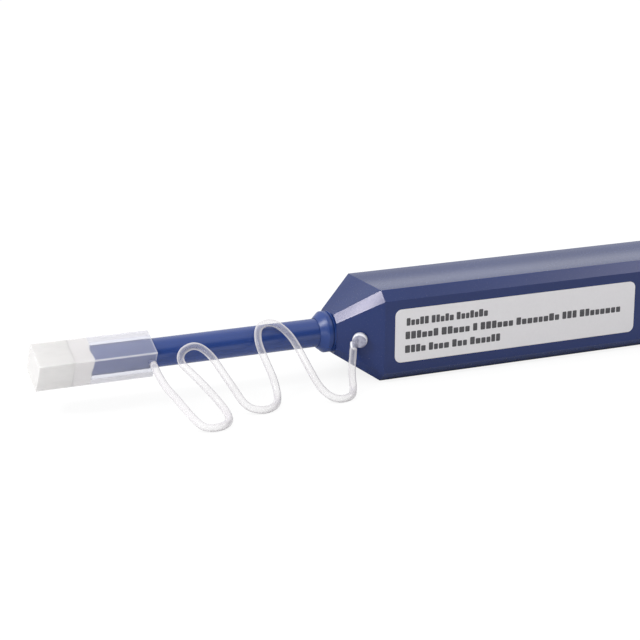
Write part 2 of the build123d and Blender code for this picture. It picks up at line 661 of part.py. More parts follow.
def carrier_base():
    base = carrier_half(1)
    half, wall = CROSSHEAD_HEIGHT / 2, CARRIER_INNER
    base += block(PILLAR_X, PILLAR_X + PILLAR_THICKNESS, -wall, wall, AXIS_Z - half, AXIS_Z + half)
    base += rod(SPRING_NUB_RADIUS, PILLAR_X - SPRING_NUB_LENGTH, PILLAR_X)
    base += cross_rod(BOSS_RADIUS, SUPPLY_X, AXIS_Z, REEL_HALF_WIDTH + BOSS_GAP, CARRIER_INNER)
    base += cross_rod(BOSS_RADIUS, TAKEUP_X, AXIS_Z, PINION_HIGH_Y + BOSS_GAP, CARRIER_INNER)
    for x in (SUPPLY_X, TAKEUP_X):
        base += cross_rod(POST_RADIUS, x, AXIS_Z, -CARRIER_INNER - POST_SOCKET, CARRIER_INNER)
    for x, z in screw_places():
        base -= cross_rod(SCREW_RADIUS, x, z, -CUT, SCREW_TIP_Y)
    for x, z in roller_places():
        base -= cross_rod(ROLLER_RADIUS, x, z, 0, CARRIER_INNER + ROLLER_SOCKET)
    rack = rack_reach()
    gap = RACK_CUT_CLEARANCE
    tooth_top = RACK_PITCH_Z + ADDENDUM + gap
    low, high = PINION_LOW_Y - gap, PINION_HIGH_Y + gap
    return base - block(rack[0] - PUSH_STROKE - gap, SPIGOT_END_X + CUT, low, high, RACK_FLOOR_Z, tooth_top)


def carrier_cover():
    cover = carrier_half(-1)
    brake_face = REEL_HALF_WIDTH + BRAKE_THICKNESS + 2 * BOSS_GAP
    cover += cross_rod(BOSS_RADIUS, SUPPLY_X, AXIS_Z, -CARRIER_INNER, -brake_face)
    cover += cross_rod(BOSS_RADIUS, TAKEUP_X, AXIS_Z, -CARRIER_INNER, -REEL_HALF_WIDTH - BOSS_GAP)
    for x in (SUPPLY_X, TAKEUP_X):
        cover -= cross_rod(POST_RADIUS, x, AXIS_Z, -CARRIER_INNER - POST_SOCKET, CUT)
    for x, z in screw_places():
        cover -= cross_rod(SCREW_RADIUS + SCREW_HOLE_CLEARANCE, x, z, -BODY_WIDTH, CUT)
        cover -= cross_rod(SCREW_HEAD_RADIUS, x, z, -BODY_WIDTH, SCREW_SEAT_Y)
    for x, z in roller_places():
        cover -= cross_rod(ROLLER_RADIUS, x, z, -CARRIER_INNER - ROLLER_SOCKET, 0)
    half = CROSSHEAD_HEIGHT / 2
    foot_x0, foot_x1 = PILLAR_X, PILLAR_X + PILLAR_THICKNESS
    return cover - block(foot_x0, foot_x1, -CARRIER_INNER, CUT, AXIS_Z - half, AXIS_Z + half)


def carrier_screws():
    screws = []
    for x, z in screw_places():
        screw = cross_rod(SCREW_HEAD_RADIUS, x, z, SCREW_SEAT_Y - SCREW_HEAD_HEIGHT, SCREW_SEAT_Y)
        screws.append(screw + cross_rod(SCREW_RADIUS, x, z, SCREW_SEAT_Y, SCREW_TIP_Y))
    return Compound(children=screws)


def guide_pins():
    reach = CARRIER_INNER + ROLLER_SOCKET
    return Compound(children=[cross_rod(ROLLER_RADIUS, x, z, -reach, reach) for x, z in roller_places()])


# Reels
def reel(x, hub_radius):
    """A flanged reel with a bore for its post and holes in its flanges."""
    inner = REEL_HALF_WIDTH - REEL_FLANGE
    body = cross_rod(hub_radius, x, AXIS_Z, -REEL_HALF_WIDTH, REEL_HALF_WIDTH)
    body += cross_rod(REEL_RADIUS, x, AXIS_Z, -REEL_HALF_WIDTH, -inner)
    body += cross_rod(REEL_RADIUS, x, AXIS_Z, inner, REEL_HALF_WIDTH)
    body -= cross_rod(REEL_BORE, x, AXIS_Z, -REEL_HALF_WIDTH - CUT, REEL_HALF_WIDTH + CUT)
    return body


def saw_outline(teeth, tip, root):
    """A saw-toothed ring's outline: each tooth ramps from root to tip and drops straight."""
    points = []
    for tooth in range(teeth):
        start, end = 2 * pi * tooth / teeth, 2 * pi * (tooth + 1) / teeth
        points.append((root * cos(start), root * sin(start)))
        points.append((tip * cos(end), tip * sin(end)))
    return make_face(Polyline(*points, close=True))


def supply_reel():
    body = reel(SUPPLY_X, REEL_HUB_RADIUS)
    middle = (REEL_HUB_RADIUS + REEL_RADIUS) / 2
    for hole in range(SPOKE_HOLES):
        angle = 2 * pi * hole / SPOKE_HOLES
        x, z = SUPPLY_X + middle * cos(angle), AXIS_Z + middle * sin(angle)
        body -= cross_rod(SPOKE_HOLE_RADIUS, x, z, REEL_HALF_WIDTH - REEL_FLANGE, REEL_HALF_WIDTH + CUT)
    return body


def ratchet_floor_y():
    """Inner side of the floor under the take-up reel's ratchet pocket."""
    return REEL_HALF_WIDTH - RATCHET_DEPTH - REEL_FLANGE / 2


def takeup_reel():
    body = reel(TAKEUP_X, TAKEUP_HUB_RADIUS)
    body += cross_rod(RATCHET_OUTER + REEL_FLANGE, TAKEUP_X, AXIS_Z, ratchet_floor_y(), REEL_HALF_WIDTH)
    pocket = saw_outline(RATCHET_TEETH, RATCHET_OUTER, RATCHET_INNER)
    pocket_plane = side_plane(TAKEUP_X, REEL_HALF_WIDTH - RATCHET_DEPTH, AXIS_Z)
    body -= extrude(pocket_plane * pocket, amount=RATCHET_DEPTH + CUT)
    reach = REEL_HALF_WIDTH + CUT
    body -= cross_rod(REEL_BORE, TAKEUP_X, AXIS_Z, -reach, reach)
    outside = Circle(REEL_RADIUS + CUT)
    outside -= saw_outline(STOP_TEETH, REEL_RADIUS, REEL_RADIUS - STOP_TOOTH_HEIGHT)
    rim_plane = side_plane(TAKEUP_X, -REEL_HALF_WIDTH, AXIS_Z)
    return body - extrude(rim_plane * outside, amount=REEL_FLANGE)


def roll(x, hub_radius, radius, high_flange_y):
    """Wound thread between the flanges; high_flange_y is the inner side of the one towards +Y."""
    low, high = REEL_FLANGE - REEL_HALF_WIDTH + ROLL_SIDE_GAP, high_flange_y - ROLL_SIDE_GAP
    return cross_rod(radius, x, AXIS_Z, low, high) - cross_rod(hub_radius, x, AXIS_Z, low - CUT, high + CUT)


def brake_washer():
    low, high = -REEL_HALF_WIDTH - BOSS_GAP - BRAKE_THICKNESS, -REEL_HALF_WIDTH - BOSS_GAP
    washer = cross_rod(BRAKE_RADIUS, SUPPLY_X, AXIS_Z, low, high)
    return washer - cross_rod(POST_RADIUS + BRAKE_HOLE_CLEARANCE, SUPPLY_X, AXIS_Z, low - CUT, high + CUT)


# Rack and pinion
def involute_flank(base, low, high):
    """Points of one tooth flank, as (radius, angle from where the flank leaves the base circle)."""
    points = []
    for step in range(FLANK_STEPS + 1):
        radius = low + (high - low) * step / FLANK_STEPS
        roll_angle = sqrt(max((radius / base) ** 2 - 1, 0))
        points.append((radius, roll_angle - atan2(roll_angle, 1)))
    return points


def pinion_outline():
    """Involute teeth, with a gap in the middle of the downward side."""
    base = PITCH_RADIUS * cos(radians(PRESSURE_ANGLE))
    root, tip = PITCH_RADIUS - DEDENDUM, PITCH_RADIUS + ADDENDUM
    at_pitch = tan(radians(PRESSURE_ANGLE)) - radians(PRESSURE_ANGLE)
    half = (pi * GEAR_MODULE / 2 - BACKLASH) / 2 / PITCH_RADIUS + at_pitch
    flank = [(root, 0)] + involute_flank(base, base, tip)
    points = []
    for tooth in range(PINION_TEETH):
        middle = pi / 2 + 2 * pi * (tooth + 0.5) / PINION_TEETH
        rising = [(radius, middle - half + angle) for radius, angle in flank]
        falling = [(radius, middle + half - angle) for radius, angle in reversed(flank)]
        points += [(radius * cos(angle), radius * sin(angle)) for radius, angle in rising + falling]
    return make_face(Polyline(*points, close=True))


def drive_pinion():
    plane = side_plane(TAKEUP_X, PINION_LOW_Y, AXIS_Z)
    pinion = extrude(plane * pinion_outline(), amount=PINION_WIDTH)
    pawl_face = REEL_HALF_WIDTH - RATCHET_DEPTH + RATCHET_CLEARANCE
    pinion += cross_rod(RATCHET_BOSS_RADIUS, TAKEUP_X, AXIS_Z, pawl_face, PINION_LOW_Y)
    arm_plane = side_plane(TAKEUP_X, pawl_face, AXIS_Z)
    boss, tip = RATCHET_BOSS_RADIUS, PAWL_TIP_RADIUS
    tooth_turn = 2 * pi / RATCHET_TEETH
    pawl_end = tooth_turn * (1 - RATCHET_CLEARANCE) - asin(RATCHET_CLEARANCE / tip)
    for pawl in range(PAWL_COUNT):
        end = pawl_end + 2 * pi * pawl / PAWL_COUNT
        start = end - radians(PAWL_SWEEP)
        inner = tip - PAWL_WIDTH
        middle = (start + end) / 2
        points = [
            (boss * cos(start) / 2, boss * sin(start) / 2),
            (boss * cos(middle), boss * sin(middle)),
            (inner * cos(end), inner * sin(end)),
            (tip * cos(end), tip * sin(end)),
            ((inner - PAWL_WIDTH / 2) * cos(start), (inner - PAWL_WIDTH / 2) * sin(start)),
        ]
        arm = make_face(Polyline(*points, close=True))
        pinion += extrude(arm_plane * arm, amount=REEL_HALF_WIDTH - pawl_face)
    return pinion - cross_rod(REEL_BORE, TAKEUP_X, AXIS_Z, pawl_face - CUT, PINION_HIGH_Y + CUT)


def rack_middle_y():
    return (PINION_LOW_Y + PINION_HIGH_Y) / 2


def rack_teeth():
    """Tooth numbers, counted from the tooth under the pinion at rest."""
    pitch = pi * GEAR_MODULE
    return range(-RACK_SPARE_TEETH, ceil(PUSH_STROKE / pitch) + RACK_SPARE_TEETH + 1)


def rack_reach():
    """The rack's front and rear ends."""
    pitch, teeth = pi * GEAR_MODULE, rack_teeth()
    return TAKEUP_X + (teeth[0] - 0.5) * pitch, TAKEUP_X + (teeth[-1] + 0.5) * pitch


def rack_peg_places():
    front, rear = rack_reach()
    return [front + (rear - front) / 4, rear - (rear - front) / 4]


def drive_rack():
    pitch = pi * GEAR_MODULE
    front, rear = rack_reach()
    top, root = RACK_PITCH_Z + ADDENDUM, RACK_PITCH_Z - DEDENDUM
    lean = tan(radians(PRESSURE_ANGLE))
    half = pitch / 4 - BACKLASH / 2
    half_root, half_top = half + DEDENDUM * lean, half - ADDENDUM * lean
    points = [(front, RACK_FLOOR_Z), (front, root)]
    for tooth in rack_teeth():
        x = TAKEUP_X + tooth * pitch
        points += [(x - half_root, root), (x - half_top, top), (x + half_top, top), (x + half_root, root)]
    points += [(rear, root), (rear, RACK_FLOOR_Z)]
    outline = Polyline(*[(x, PINION_HIGH_Y, z) for x, z in points], close=True)
    rack = extrude(make_face(outline), amount=PINION_WIDTH, dir=(0, -1, 0))
    for x in rack_peg_places():
        rack += Pos(x, rack_middle_y(), RACK_FLOOR_Z) * Cylinder(RACK_PEG_RADIUS, 2 * RACK_PEG_DEPTH)
    return rack


def stop_pawl():
    """A leaf under the carrier's ceiling; its tip lies in the take-up reel's saw teeth."""
    low_y = -REEL_HALF_WIDTH
    angle = radians(STOP_PAWL_ANGLE)
    reach = REEL_RADIUS + STOP_PAWL_GAP
    tip_x, tip_z = TAKEUP_X + reach * cos(angle), AXIS_Z + reach * sin(angle)
    ceiling = AXIS_Z + CARRIER_CEILING
    foot_x = CARRIER_REAR_X - SCREW_SETBACK_REAR - SCREW_BOSS_RADIUS - STOP_PAWL_TO_BOSS
    thick = STOP_PAWL_THICKNESS
    points = [
        (tip_x, tip_z),
        (tip_x + thick / 2, tip_z + thick),
        (foot_x - STOP_PAWL_FOOT, ceiling - thick),
        (foot_x - STOP_PAWL_FOOT, ceiling),
        (foot_x, ceiling),
        (foot_x, ceiling - 2 * thick),
        (foot_x - STOP_PAWL_FOOT + thick, ceiling - 2 * thick),
    ]
    outline = Polyline(*[(x, low_y, z) for x, z in points], close=True)
    return extrude(make_face(outline), amount=REEL_FLANGE, dir=(0, 1, 0))


# Thread over the tip
def thread_turns():
    """The thread's path in the X-Z plane and the radius of each corner."""
    half, gap = THREAD_THICKNESS / 2, THREAD_GAP
    at_used = AXIS_Z + USED_ROLL_RADIUS + gap + half
    at_fresh = AXIS_Z - FRESH_ROLL_RADIUS - gap - half
    over_roller = ROLLER_RADIUS + gap + half
    (x1, z1), (x2, z2) = roller_places()
    at_head = HEAD_RADIUS + gap + half
    front = HEAD_FRONT_X - gap - half
    funnel_front, funnel_rear = NOZZLE_FRONT_X + INSERT_FLANGE, NOZZLE_FRONT_X + INSERT_PLUG
    places = [
        (TAKEUP_X, at_used, 0),
        (x2, z2 + over_roller, THREAD_TURN_AT_ROLLER),
        (x1, z1 + over_roller, THREAD_TURN_AT_ROLLER),
        (NOZZLE_REAR_X, AXIS_Z + THREAD_LIFT, THREAD_TURN_AT_ROLLER),
        (funnel_rear, AXIS_Z + THREAD_LIFT, THREAD_FUNNEL_BEND),
        (funnel_front, AXIS_Z + at_head, THREAD_FUNNEL_BEND),
        (front, AXIS_Z + at_head, THREAD_BEND),
        (front, AXIS_Z - at_head, THREAD_BEND),
        (funnel_front, AXIS_Z - at_head, THREAD_FUNNEL_BEND),
        (funnel_rear, AXIS_Z - THREAD_LIFT, THREAD_FUNNEL_BEND),
        (NOZZLE_REAR_X, AXIS_Z - THREAD_LIFT, THREAD_TURN_AT_ROLLER),
        (SUPPLY_X, at_fresh, 0),
    ]
    return [(x, 0, z) for x, z, bend in places], [bend for x, z, bend in places[1:-1]]


def cleaning_thread():
    points, bends = thread_turns()
    path = FilletPolyline(*points, radius=bends)
    plane = Plane(origin=path @ 0, x_dir=(0, 1, 0), z_dir=path % 0)
    return sweep(plane * Rectangle(THREAD_WIDTH, THREAD_THICKNESS), path)


# Guide cap and lid
def cap_bar(side, x0, x1):
    """A square bar across the axis, turned as the cap lies in the photograph, with eased edges."""
    square = station(x0) * Rot(0, 0, CAP_TURN) * RectangleRounded(side, side, CAP_EDGE)
    return extrude(square, amount=x1 - x0)


def guide_cap():
    spigot_side = CAP_SIDE - 2 * LID_WALL
    spigot_front = FRONT_X + LID_FRONT_WALL + LID_SPACE
    bore_end = NOZZLE_FRONT_X - INSERT_FLANGE - CAP_BORE_END_GAP
    chamber_end = HEAD_FRONT_X - THREAD_THICKNESS - CAP_CHAMBER_GAP
    cap = cap_bar(CAP_SIDE, LID_REAR_X, CAP_MOUTH_X) + cap_bar(spigot_side, spigot_front, LID_REAR_X)
    face = station(CAP_MOUTH_X - BOSS_FROM_MOUTH) * Rot(0, 0, CAP_TURN)
    boss = Pos(-CAP_SIDE / 2 - BOSS_HEIGHT, BOSS_OFF_CENTRE, 0) * Rot(0, BOSS_TURN, 0)
    cap += extrude(face * boss * Circle(TETHER_RADIUS), amount=BOSS_HEIGHT + BOSS_ROOT)
    cap -= rod(GUIDE_BORE, bore_end, CAP_MOUTH_X + CUT)
    cap -= rod(CAP_CHAMBER_RADIUS, chamber_end, bore_end)
    cap -= turned(
        [
            (chamber_end, 0),
            (chamber_end, FERRULE_BORE),
            (spigot_front + FERRULE_LEAD, FERRULE_BORE),
            (spigot_front, FERRULE_BORE + FERRULE_LEAD),
            (spigot_front - CUT, FERRULE_BORE + FERRULE_LEAD),
            (spigot_front - CUT, 0),
        ]
    )
    return cap


def cap_lid():
    hollow_side = CAP_SIDE - 2 * (LID_WALL - LID_CLEARANCE)
    hollow = cap_bar(hollow_side, FRONT_X + LID_FRONT_WALL, LID_REAR_X + CUT)
    return cap_bar(CAP_SIDE, FRONT_X, LID_REAR_X) - hollow


def drive_parts():
    return {
        "supply_reel": supply_reel(),
        "fresh_thread": roll(SUPPLY_X, REEL_HUB_RADIUS, FRESH_ROLL_RADIUS, REEL_HALF_WIDTH - REEL_FLANGE),
        "takeup_reel": takeup_reel(),
        "used_thread": roll(TAKEUP_X, TAKEUP_HUB_RADIUS, USED_ROLL_RADIUS, ratchet_floor_y()),
        "drive_pinion": drive_pinion(),
        "drive_rack": drive_rack(),
        "stop_pawl": stop_pawl(),
        "brake_washer": brake_washer(),
        "cleaning_thread": cleaning_thread(),
    }


def carrier_parts():
    return {
        "carrier_base": carrier_base(),
        "carrier_cover": carrier_cover(),
        "carrier_screws": carrier_screws(),
        "guide_pins": guide_pins(),
        "return_spring": coil(
            CARRIER_REAR_X, SPRING_SEAT_X, RETURN_SPRING_RADIUS, RETURN_SPRING_WIRE, RETURN_SPRING_TURNS
        ),
    }


def nozzle_parts():
    return {
        "nozzle_tube": nozzle_tube(),
        "nozzle_tip": nozzle_tip(),
        "tip_shaft": tip_shaft(),
        "tip_head": tip_head(),
        "tip_bearing": tip_bearing(),
        "tip_spring": tip_spring(),
        "guide_cap": guide_cap(),
        "cap_lid": cap_lid(),
    }


def case_parts():
    return {
        "case_shell": case_shell(),
        "rear_cap": rear_cap(),
        "nose_collar": nose_collar(),
        "turning_pin": turning_pin(),
        "label": label(),
        "tether_peg": tether_peg(),
        "tether": tether(),
    }


os.makedirs("parts", exist_ok=True)
for group in (case_parts, nozzle_parts, carrier_parts, drive_parts):
    for name, piece in group().items():
        export_step(piece, f"parts/{name}.step")
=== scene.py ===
"""Looks of a fibre connector cleaning pen, laid over its CAD frame.

The CAD pieces keep their shapes and get soft edges and moulded, clear, steel and paper finishes.
The tether is a smooth tube along its route, the springs are wound from round wire, and the label
carries plain print blocks.
"""

import json
import math
import random

import bmesh
import bpy
from bpy.props import FloatProperty, FloatVectorProperty, IntProperty, PointerProperty
from mathutils import Matrix, Vector


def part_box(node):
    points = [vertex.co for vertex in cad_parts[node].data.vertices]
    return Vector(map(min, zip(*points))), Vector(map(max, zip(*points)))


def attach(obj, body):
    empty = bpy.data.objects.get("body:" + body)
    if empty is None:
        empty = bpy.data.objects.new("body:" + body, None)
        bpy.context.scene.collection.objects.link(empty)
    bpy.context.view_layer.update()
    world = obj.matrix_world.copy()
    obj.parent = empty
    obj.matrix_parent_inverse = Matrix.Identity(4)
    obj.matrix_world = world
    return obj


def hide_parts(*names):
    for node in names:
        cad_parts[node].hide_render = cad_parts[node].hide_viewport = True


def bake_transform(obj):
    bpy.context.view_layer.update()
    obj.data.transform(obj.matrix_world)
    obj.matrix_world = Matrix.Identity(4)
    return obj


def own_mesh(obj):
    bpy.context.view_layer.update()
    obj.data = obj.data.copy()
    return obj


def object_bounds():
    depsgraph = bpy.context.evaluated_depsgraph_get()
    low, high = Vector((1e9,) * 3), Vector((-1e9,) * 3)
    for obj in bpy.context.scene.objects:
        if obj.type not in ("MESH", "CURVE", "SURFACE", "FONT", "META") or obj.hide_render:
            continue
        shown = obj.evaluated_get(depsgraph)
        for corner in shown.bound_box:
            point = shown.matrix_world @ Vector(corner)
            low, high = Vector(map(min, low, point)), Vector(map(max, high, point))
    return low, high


bl_info = {
    "name": "Fibre Cleaning Pen",
    "version": (1, 0, 0),
    "blender": (4, 5, 0),
    "location": "3D View > Sidebar > Cleaning Pen",
    "description": "Builds the looks of a fibre connector cleaning pen on its CAD frame",
    "category": "Object",
}

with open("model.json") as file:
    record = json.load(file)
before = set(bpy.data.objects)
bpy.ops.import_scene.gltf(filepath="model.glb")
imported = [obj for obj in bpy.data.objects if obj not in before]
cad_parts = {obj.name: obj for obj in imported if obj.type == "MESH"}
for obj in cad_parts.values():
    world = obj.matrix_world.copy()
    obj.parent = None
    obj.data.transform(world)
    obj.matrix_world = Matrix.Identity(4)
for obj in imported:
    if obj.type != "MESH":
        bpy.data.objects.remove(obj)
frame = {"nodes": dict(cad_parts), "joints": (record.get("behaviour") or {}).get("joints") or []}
CAD_BOX = [list(corner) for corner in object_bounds()]
LABEL_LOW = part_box("label")[0]

# The tether's route from the guide cap to the peg, in metres: the part's route, with its bends
# moved by up to a millimetre, to suit the smooth line
TETHER_ROUTE = [
    (-0.0933, -0.0038, 0.0081),
    (-0.0933, -0.0081, 0.0057),
    (-0.0922, -0.0133, 0.0038),
    (-0.0914, -0.0186, 0.0018),
    (-0.0904, -0.0219, 0.0008),
    (-0.0871, -0.0221, 0.0007),
    (-0.0844, -0.0194, 0.0007),
    (-0.0838, -0.0154, 0.0015),
    (-0.0853, -0.0115, 0.0041),
    (-0.0873, -0.0079, 0.0067),
    (-0.0886, -0.0051, 0.0082),
    (-0.0878, -0.0041, 0.0101),
    (-0.0848, -0.0037, 0.0108),
    (-0.0826, -0.0053, 0.0091),
    (-0.0816, -0.0085, 0.0065),
    (-0.0806, -0.0119, 0.0040),
    (-0.0797, -0.0150, 0.0014),
    (-0.0772, -0.0167, 0.0007),
    (-0.0740, -0.0155, 0.0007),
    (-0.0720, -0.0126, 0.0010),
    (-0.0716, -0.0098, 0.0039),
    (-0.0722, -0.0070, 0.0071),
    (-0.0726, -0.0042, 0.0100),
    (-0.0715, -0.0020, 0.0124),
    (-0.0683, -0.0016, 0.0128),
    (-0.0659, -0.0037, 0.0107),
    (-0.0651, -0.0068, 0.0081),
    (-0.0646, -0.0103, 0.0052),
    (-0.0639, -0.0139, 0.0022),
    (-0.0620, -0.0164, 0.0007),
    (-0.0588, -0.0161, 0.0007),
    (-0.0569, -0.0135, 0.0009),
    (-0.0561, -0.0110, 0.0030),
    (-0.0552, -0.0092, 0.0048),
    (-0.0545, -0.0081, 0.0060),
    (-0.0540, -0.0072, 0.0071),
]

# X and Y of the peg's foot on the nose, and the way that its head faces
PEG_FOOT = (-0.05217, -0.006404)
PEG_OUTWARD = (-0.547, -0.837, 0.0)

# The square guide cap about the pen's axis
CAP_HALF_SIDE = 0.00312
CAP_TURN = math.radians(29)

# Soft edges: corners this close are welded, and edges sharper than this are rounded
WELD_REACH = 0.000002
SHARP_ANGLE = math.radians(28)


# What a user may change
class PenSizes(bpy.types.PropertyGroup):
    """Sizes of the pieces that the looks add to the frame"""

    case_edge: FloatProperty(
        name="Case Edge",
        description="Radius of the soft edges on the case",
        default=0.00012,
        min=0.0,
        max=0.0005,
        unit="LENGTH",
        precision=5,
    )
    small_edge: FloatProperty(
        name="Small Edge",
        description="Radius of the soft edges on the small mouldings",
        default=0.00006,
        min=0.0,
        max=0.0003,
        unit="LENGTH",
        precision=5,
    )
    tether_diameter: FloatProperty(
        name="Tether Diameter",
        description="Diameter of the tether strand",
        default=0.0014,
        unit="LENGTH",
        precision=5,
    )
    tether_sides: IntProperty(
        name="Tether Sides",
        description="Sides of the tether's round section",
        default=16,
        min=8,
        max=48,
    )
    tether_cut: FloatVectorProperty(
        name="Tether Halfway",
        description="Where the tether rides with the nozzle, on the bend that lies on it",
        default=(-0.0699, -0.0017, 0.0127),
        subtype="TRANSLATION",
        unit="LENGTH",
    )
    return_wire: FloatProperty(
        name="Return Spring Wire",
        description="Radius of the return spring's wire",
        default=0.0004,
        unit="LENGTH",
        precision=5,
    )
    return_turns: IntProperty(
        name="Return Spring Turns",
        description="Turns of the return spring",
        default=8,
        min=3,
        max=20,
    )
    tip_wire: FloatProperty(
        name="Tip Spring Wire",
        description="Radius of the tip spring's wire",
        default=0.00013,
        unit="LENGTH",
        precision=5,
    )
    tip_turns: IntProperty(
        name="Tip Spring Turns",
        description="Turns of the tip spring",
        default=5,
        min=3,
        max=20,
    )
    print_height: FloatProperty(
        name="Print Height",
        description="Height of the tall print blocks on the label",
        default=0.00150,
        unit="LENGTH",
        precision=5,
    )
    print_rise: FloatProperty(
        name="Print Thickness",
        description="How far the ink stands on the label",
        default=0.000012,
        unit="LENGTH",
        precision=6,
    )


class PenFinish(bpy.types.PropertyGroup):
    """Colours of the mouldings, the label, the clear pieces and the thread"""

    case_blue: FloatVectorProperty(
        name="Case Blue",
        description="Colour of the case and its rear cap",
        default=(0.011, 0.029, 0.125),
        subtype="COLOR",
        min=0.0,
        max=1.0,
    )
    collar_blue: FloatVectorProperty(
        name="Collar Blue",
        description="Colour of the collar in the nose",
        default=(0.011, 0.042, 0.200),
        subtype="COLOR",
        min=0.0,
        max=1.0,
    )
    nozzle_blue: FloatVectorProperty(
        name="Nozzle Blue",
        description="Colour of the sliding nozzle",
        default=(0.013, 0.042, 0.196),
        subtype="COLOR",
        min=0.0,
        max=1.0,
    )
    label_paper: FloatVectorProperty(
        name="Label Paper",
        description="Colour of the label",
        default=(0.755, 0.742, 0.760),
        subtype="COLOR",
        min=0.0,
        max=1.0,
    )
    label_ink: FloatVectorProperty(
        name="Label Ink",
        description="Colour of the print blocks",
        default=(0.085, 0.083, 0.090),
        subtype="COLOR",
        min=0.0,
        max=1.0,
    )
    haze_tint: FloatVectorProperty(
        name="Haze Tint",
        description="Tint of the guide cap's thin wall",
        default=(0.435, 0.455, 0.60),
        subtype="COLOR",
        min=0.0,
        max=1.0,
    )
    milk_tint: FloatVectorProperty(
        name="Milk Tint",
        description="Tint of the guide cap where it is milky",
        default=(0.62, 0.605, 0.61),
        subtype="COLOR",
        min=0.0,
        max=1.0,
    )
    cap_haze: FloatProperty(
        name="Cap Haze",
        description="How milky the thin wall of the guide cap is",
        default=0.45,
        min=0.0,
        max=1.0,
        subtype="FACTOR",
    )
    lid_tint: FloatVectorProperty(
        name="Lid Tint",
        description="Tint of the frosted lid",
        default=(0.625, 0.615, 0.61),
        subtype="COLOR",
        min=0.0,
        max=1.0,
    )
    tether_tint: FloatVectorProperty(
        name="Tether Tint",
        description="Tint of the tether strand",
        default=(0.63, 0.61, 0.63),
        subtype="COLOR",
        min=0.0,
        max=1.0,
    )
    carrier_grey: FloatVectorProperty(
        name="Carrier Grey",
        description="Colour of the sliding carrier inside the case",
        default=(0.30, 0.31, 0.33),
        subtype="COLOR",
        min=0.0,
        max=1.0,
    )
    tip_white: FloatVectorProperty(
        name="Tip White",
        description="Colour of the nozzle's pale insert and the tip's head",
        default=(0.78, 0.77, 0.73),
        subtype="COLOR",
        min=0.0,
        max=1.0,
    )
    gear_white: FloatVectorProperty(
        name="Gear White",
        description="Colour of the gears, the reels and the tip's shaft",
        default=(0.72, 0.71, 0.66),
        subtype="COLOR",
        min=0.0,
        max=1.0,
    )
    thread_white: FloatVectorProperty(
        name="Thread White",
        description="Colour of the cleaning thread",
        default=(0.80, 0.79, 0.75),
        subtype="COLOR",
        min=0.0,
        max=1.0,
    )
    felt_grey: FloatVectorProperty(
        name="Felt Grey",
        description="Colour of the supply reel's brake washer",
        default=(0.36, 0.33, 0.30),
        subtype="COLOR",
        min=0.0,
        max=1.0,
    )


class PenStage(bpy.types.PropertyGroup):
    """Floor, light and camera"""

    floor_size: FloatProperty(
        name="Floor Size",
        description="Side of the square floor",
        default=6.0,
        unit="LENGTH",
    )
    floor_white: FloatProperty(
        name="Floor White",
        description="Share of plain white in the floor as the camera sees it",
        default=0.92,
        min=0.0,
        max=1.0,
        subtype="FACTOR",
    )
    top_light: FloatProperty(
        name="Top Light",
        description="Power of the wide lamp above the pen",
        default=1.7,
        unit="POWER",
    )
    nose_light: FloatProperty(
        name="Nose Light",
        description="Power of the narrow lamp that shines along the nose",
        default=1.6,
        unit="POWER",
    )
    cap_light: FloatProperty(
        name="Cap Light",
        description="Power of the small low lamp that evens out the guide cap",
        default=0.017,
        unit="POWER",
        precision=4,
    )
    sky_light: FloatProperty(
        name="Sky Light",
        description="Strength of the surroundings above and behind the pen",
        default=0.95,
        min=0.0,
    )
    room_light: FloatProperty(
        name="Room Light",
        description="Strength of the dim surroundings on the camera's side",
        default=0.15,
        min=0.0,
    )
    lens: FloatProperty(
        name="Lens",
        description="Focal length on a 36 mm sensor",
        default=109.09,
        unit="CAMERA",
    )
    camera_place: FloatVectorProperty(
        name="Camera Place",
        description="Where the camera stands",
        default=(-0.211199, -0.324958, 0.112807),
        subtype="TRANSLATION",
        unit="LENGTH",
        precision=5,
    )
    camera_turn: FloatProperty(
        name="Camera Heading",
        description="Heading of the camera, from straight back towards the pen's rear",
        default=0.4414,
        subtype="ANGLE",
    )
    camera_dip: FloatProperty(
        name="Camera Dip",
        description="How far the camera looks down",
        default=0.2750,
        subtype="ANGLE",
    )
    camera_roll: FloatProperty(
        name="Camera Roll",
        description="Roll of the camera about its line of sight",
        default=0.00568,
        subtype="ANGLE",
    )


# Nodes
def new_finish(name, **constants):
    """A material with one Principled shader; constants are set on its own sockets."""
    finish = bpy.data.materials.new(name)
    finish.use_nodes = True
    shader = finish.node_tree.nodes["Principled BSDF"]
    for socket, value in constants.items():
        shader.inputs[socket.replace("_", " ")].default_value = value
    return finish, shader


def add_node(finish, kind, **settings):
    """A new node with these settings, in a material or a world."""
    node = finish.node_tree.nodes.new(kind)
    for name, value in settings.items():
        setattr(node, name, value)
    return node


def join(finish, start, end):
    """Links an output to an input."""
    finish.node_tree.links.new(start, end)


def feed(finish, value, entry):
    """Links an output to the entry, or sets a plain number on it."""
    if isinstance(value, bpy.types.NodeSocket):
        join(finish, value, entry)
    else:
        entry.default_value = value


def compute(finish, operation, *values):
    """What a Math node makes of outputs and plain numbers."""
    node = add_node(finish, "ShaderNodeMath", operation=operation)
    for value, entry in zip(values, node.inputs):
        feed(finish, value, entry)
    return node.outputs["Value"]


def largest(finish, first, *others):
    """The largest of several values."""
    for other in others:
        first = compute(finish, "MAXIMUM", first, other)
    return first


def between(finish, value, low, high, clamp=True):
    """Goes evenly from low to high as the value goes from 0 to 1."""
    span = add_node(finish, "ShaderNodeMapRange", clamp=clamp)
    feed(finish, low, span.inputs["To Min"])
    feed(finish, high, span.inputs["To Max"])
    join(finish, value, span.inputs["Value"])
    return span.outputs["Result"]


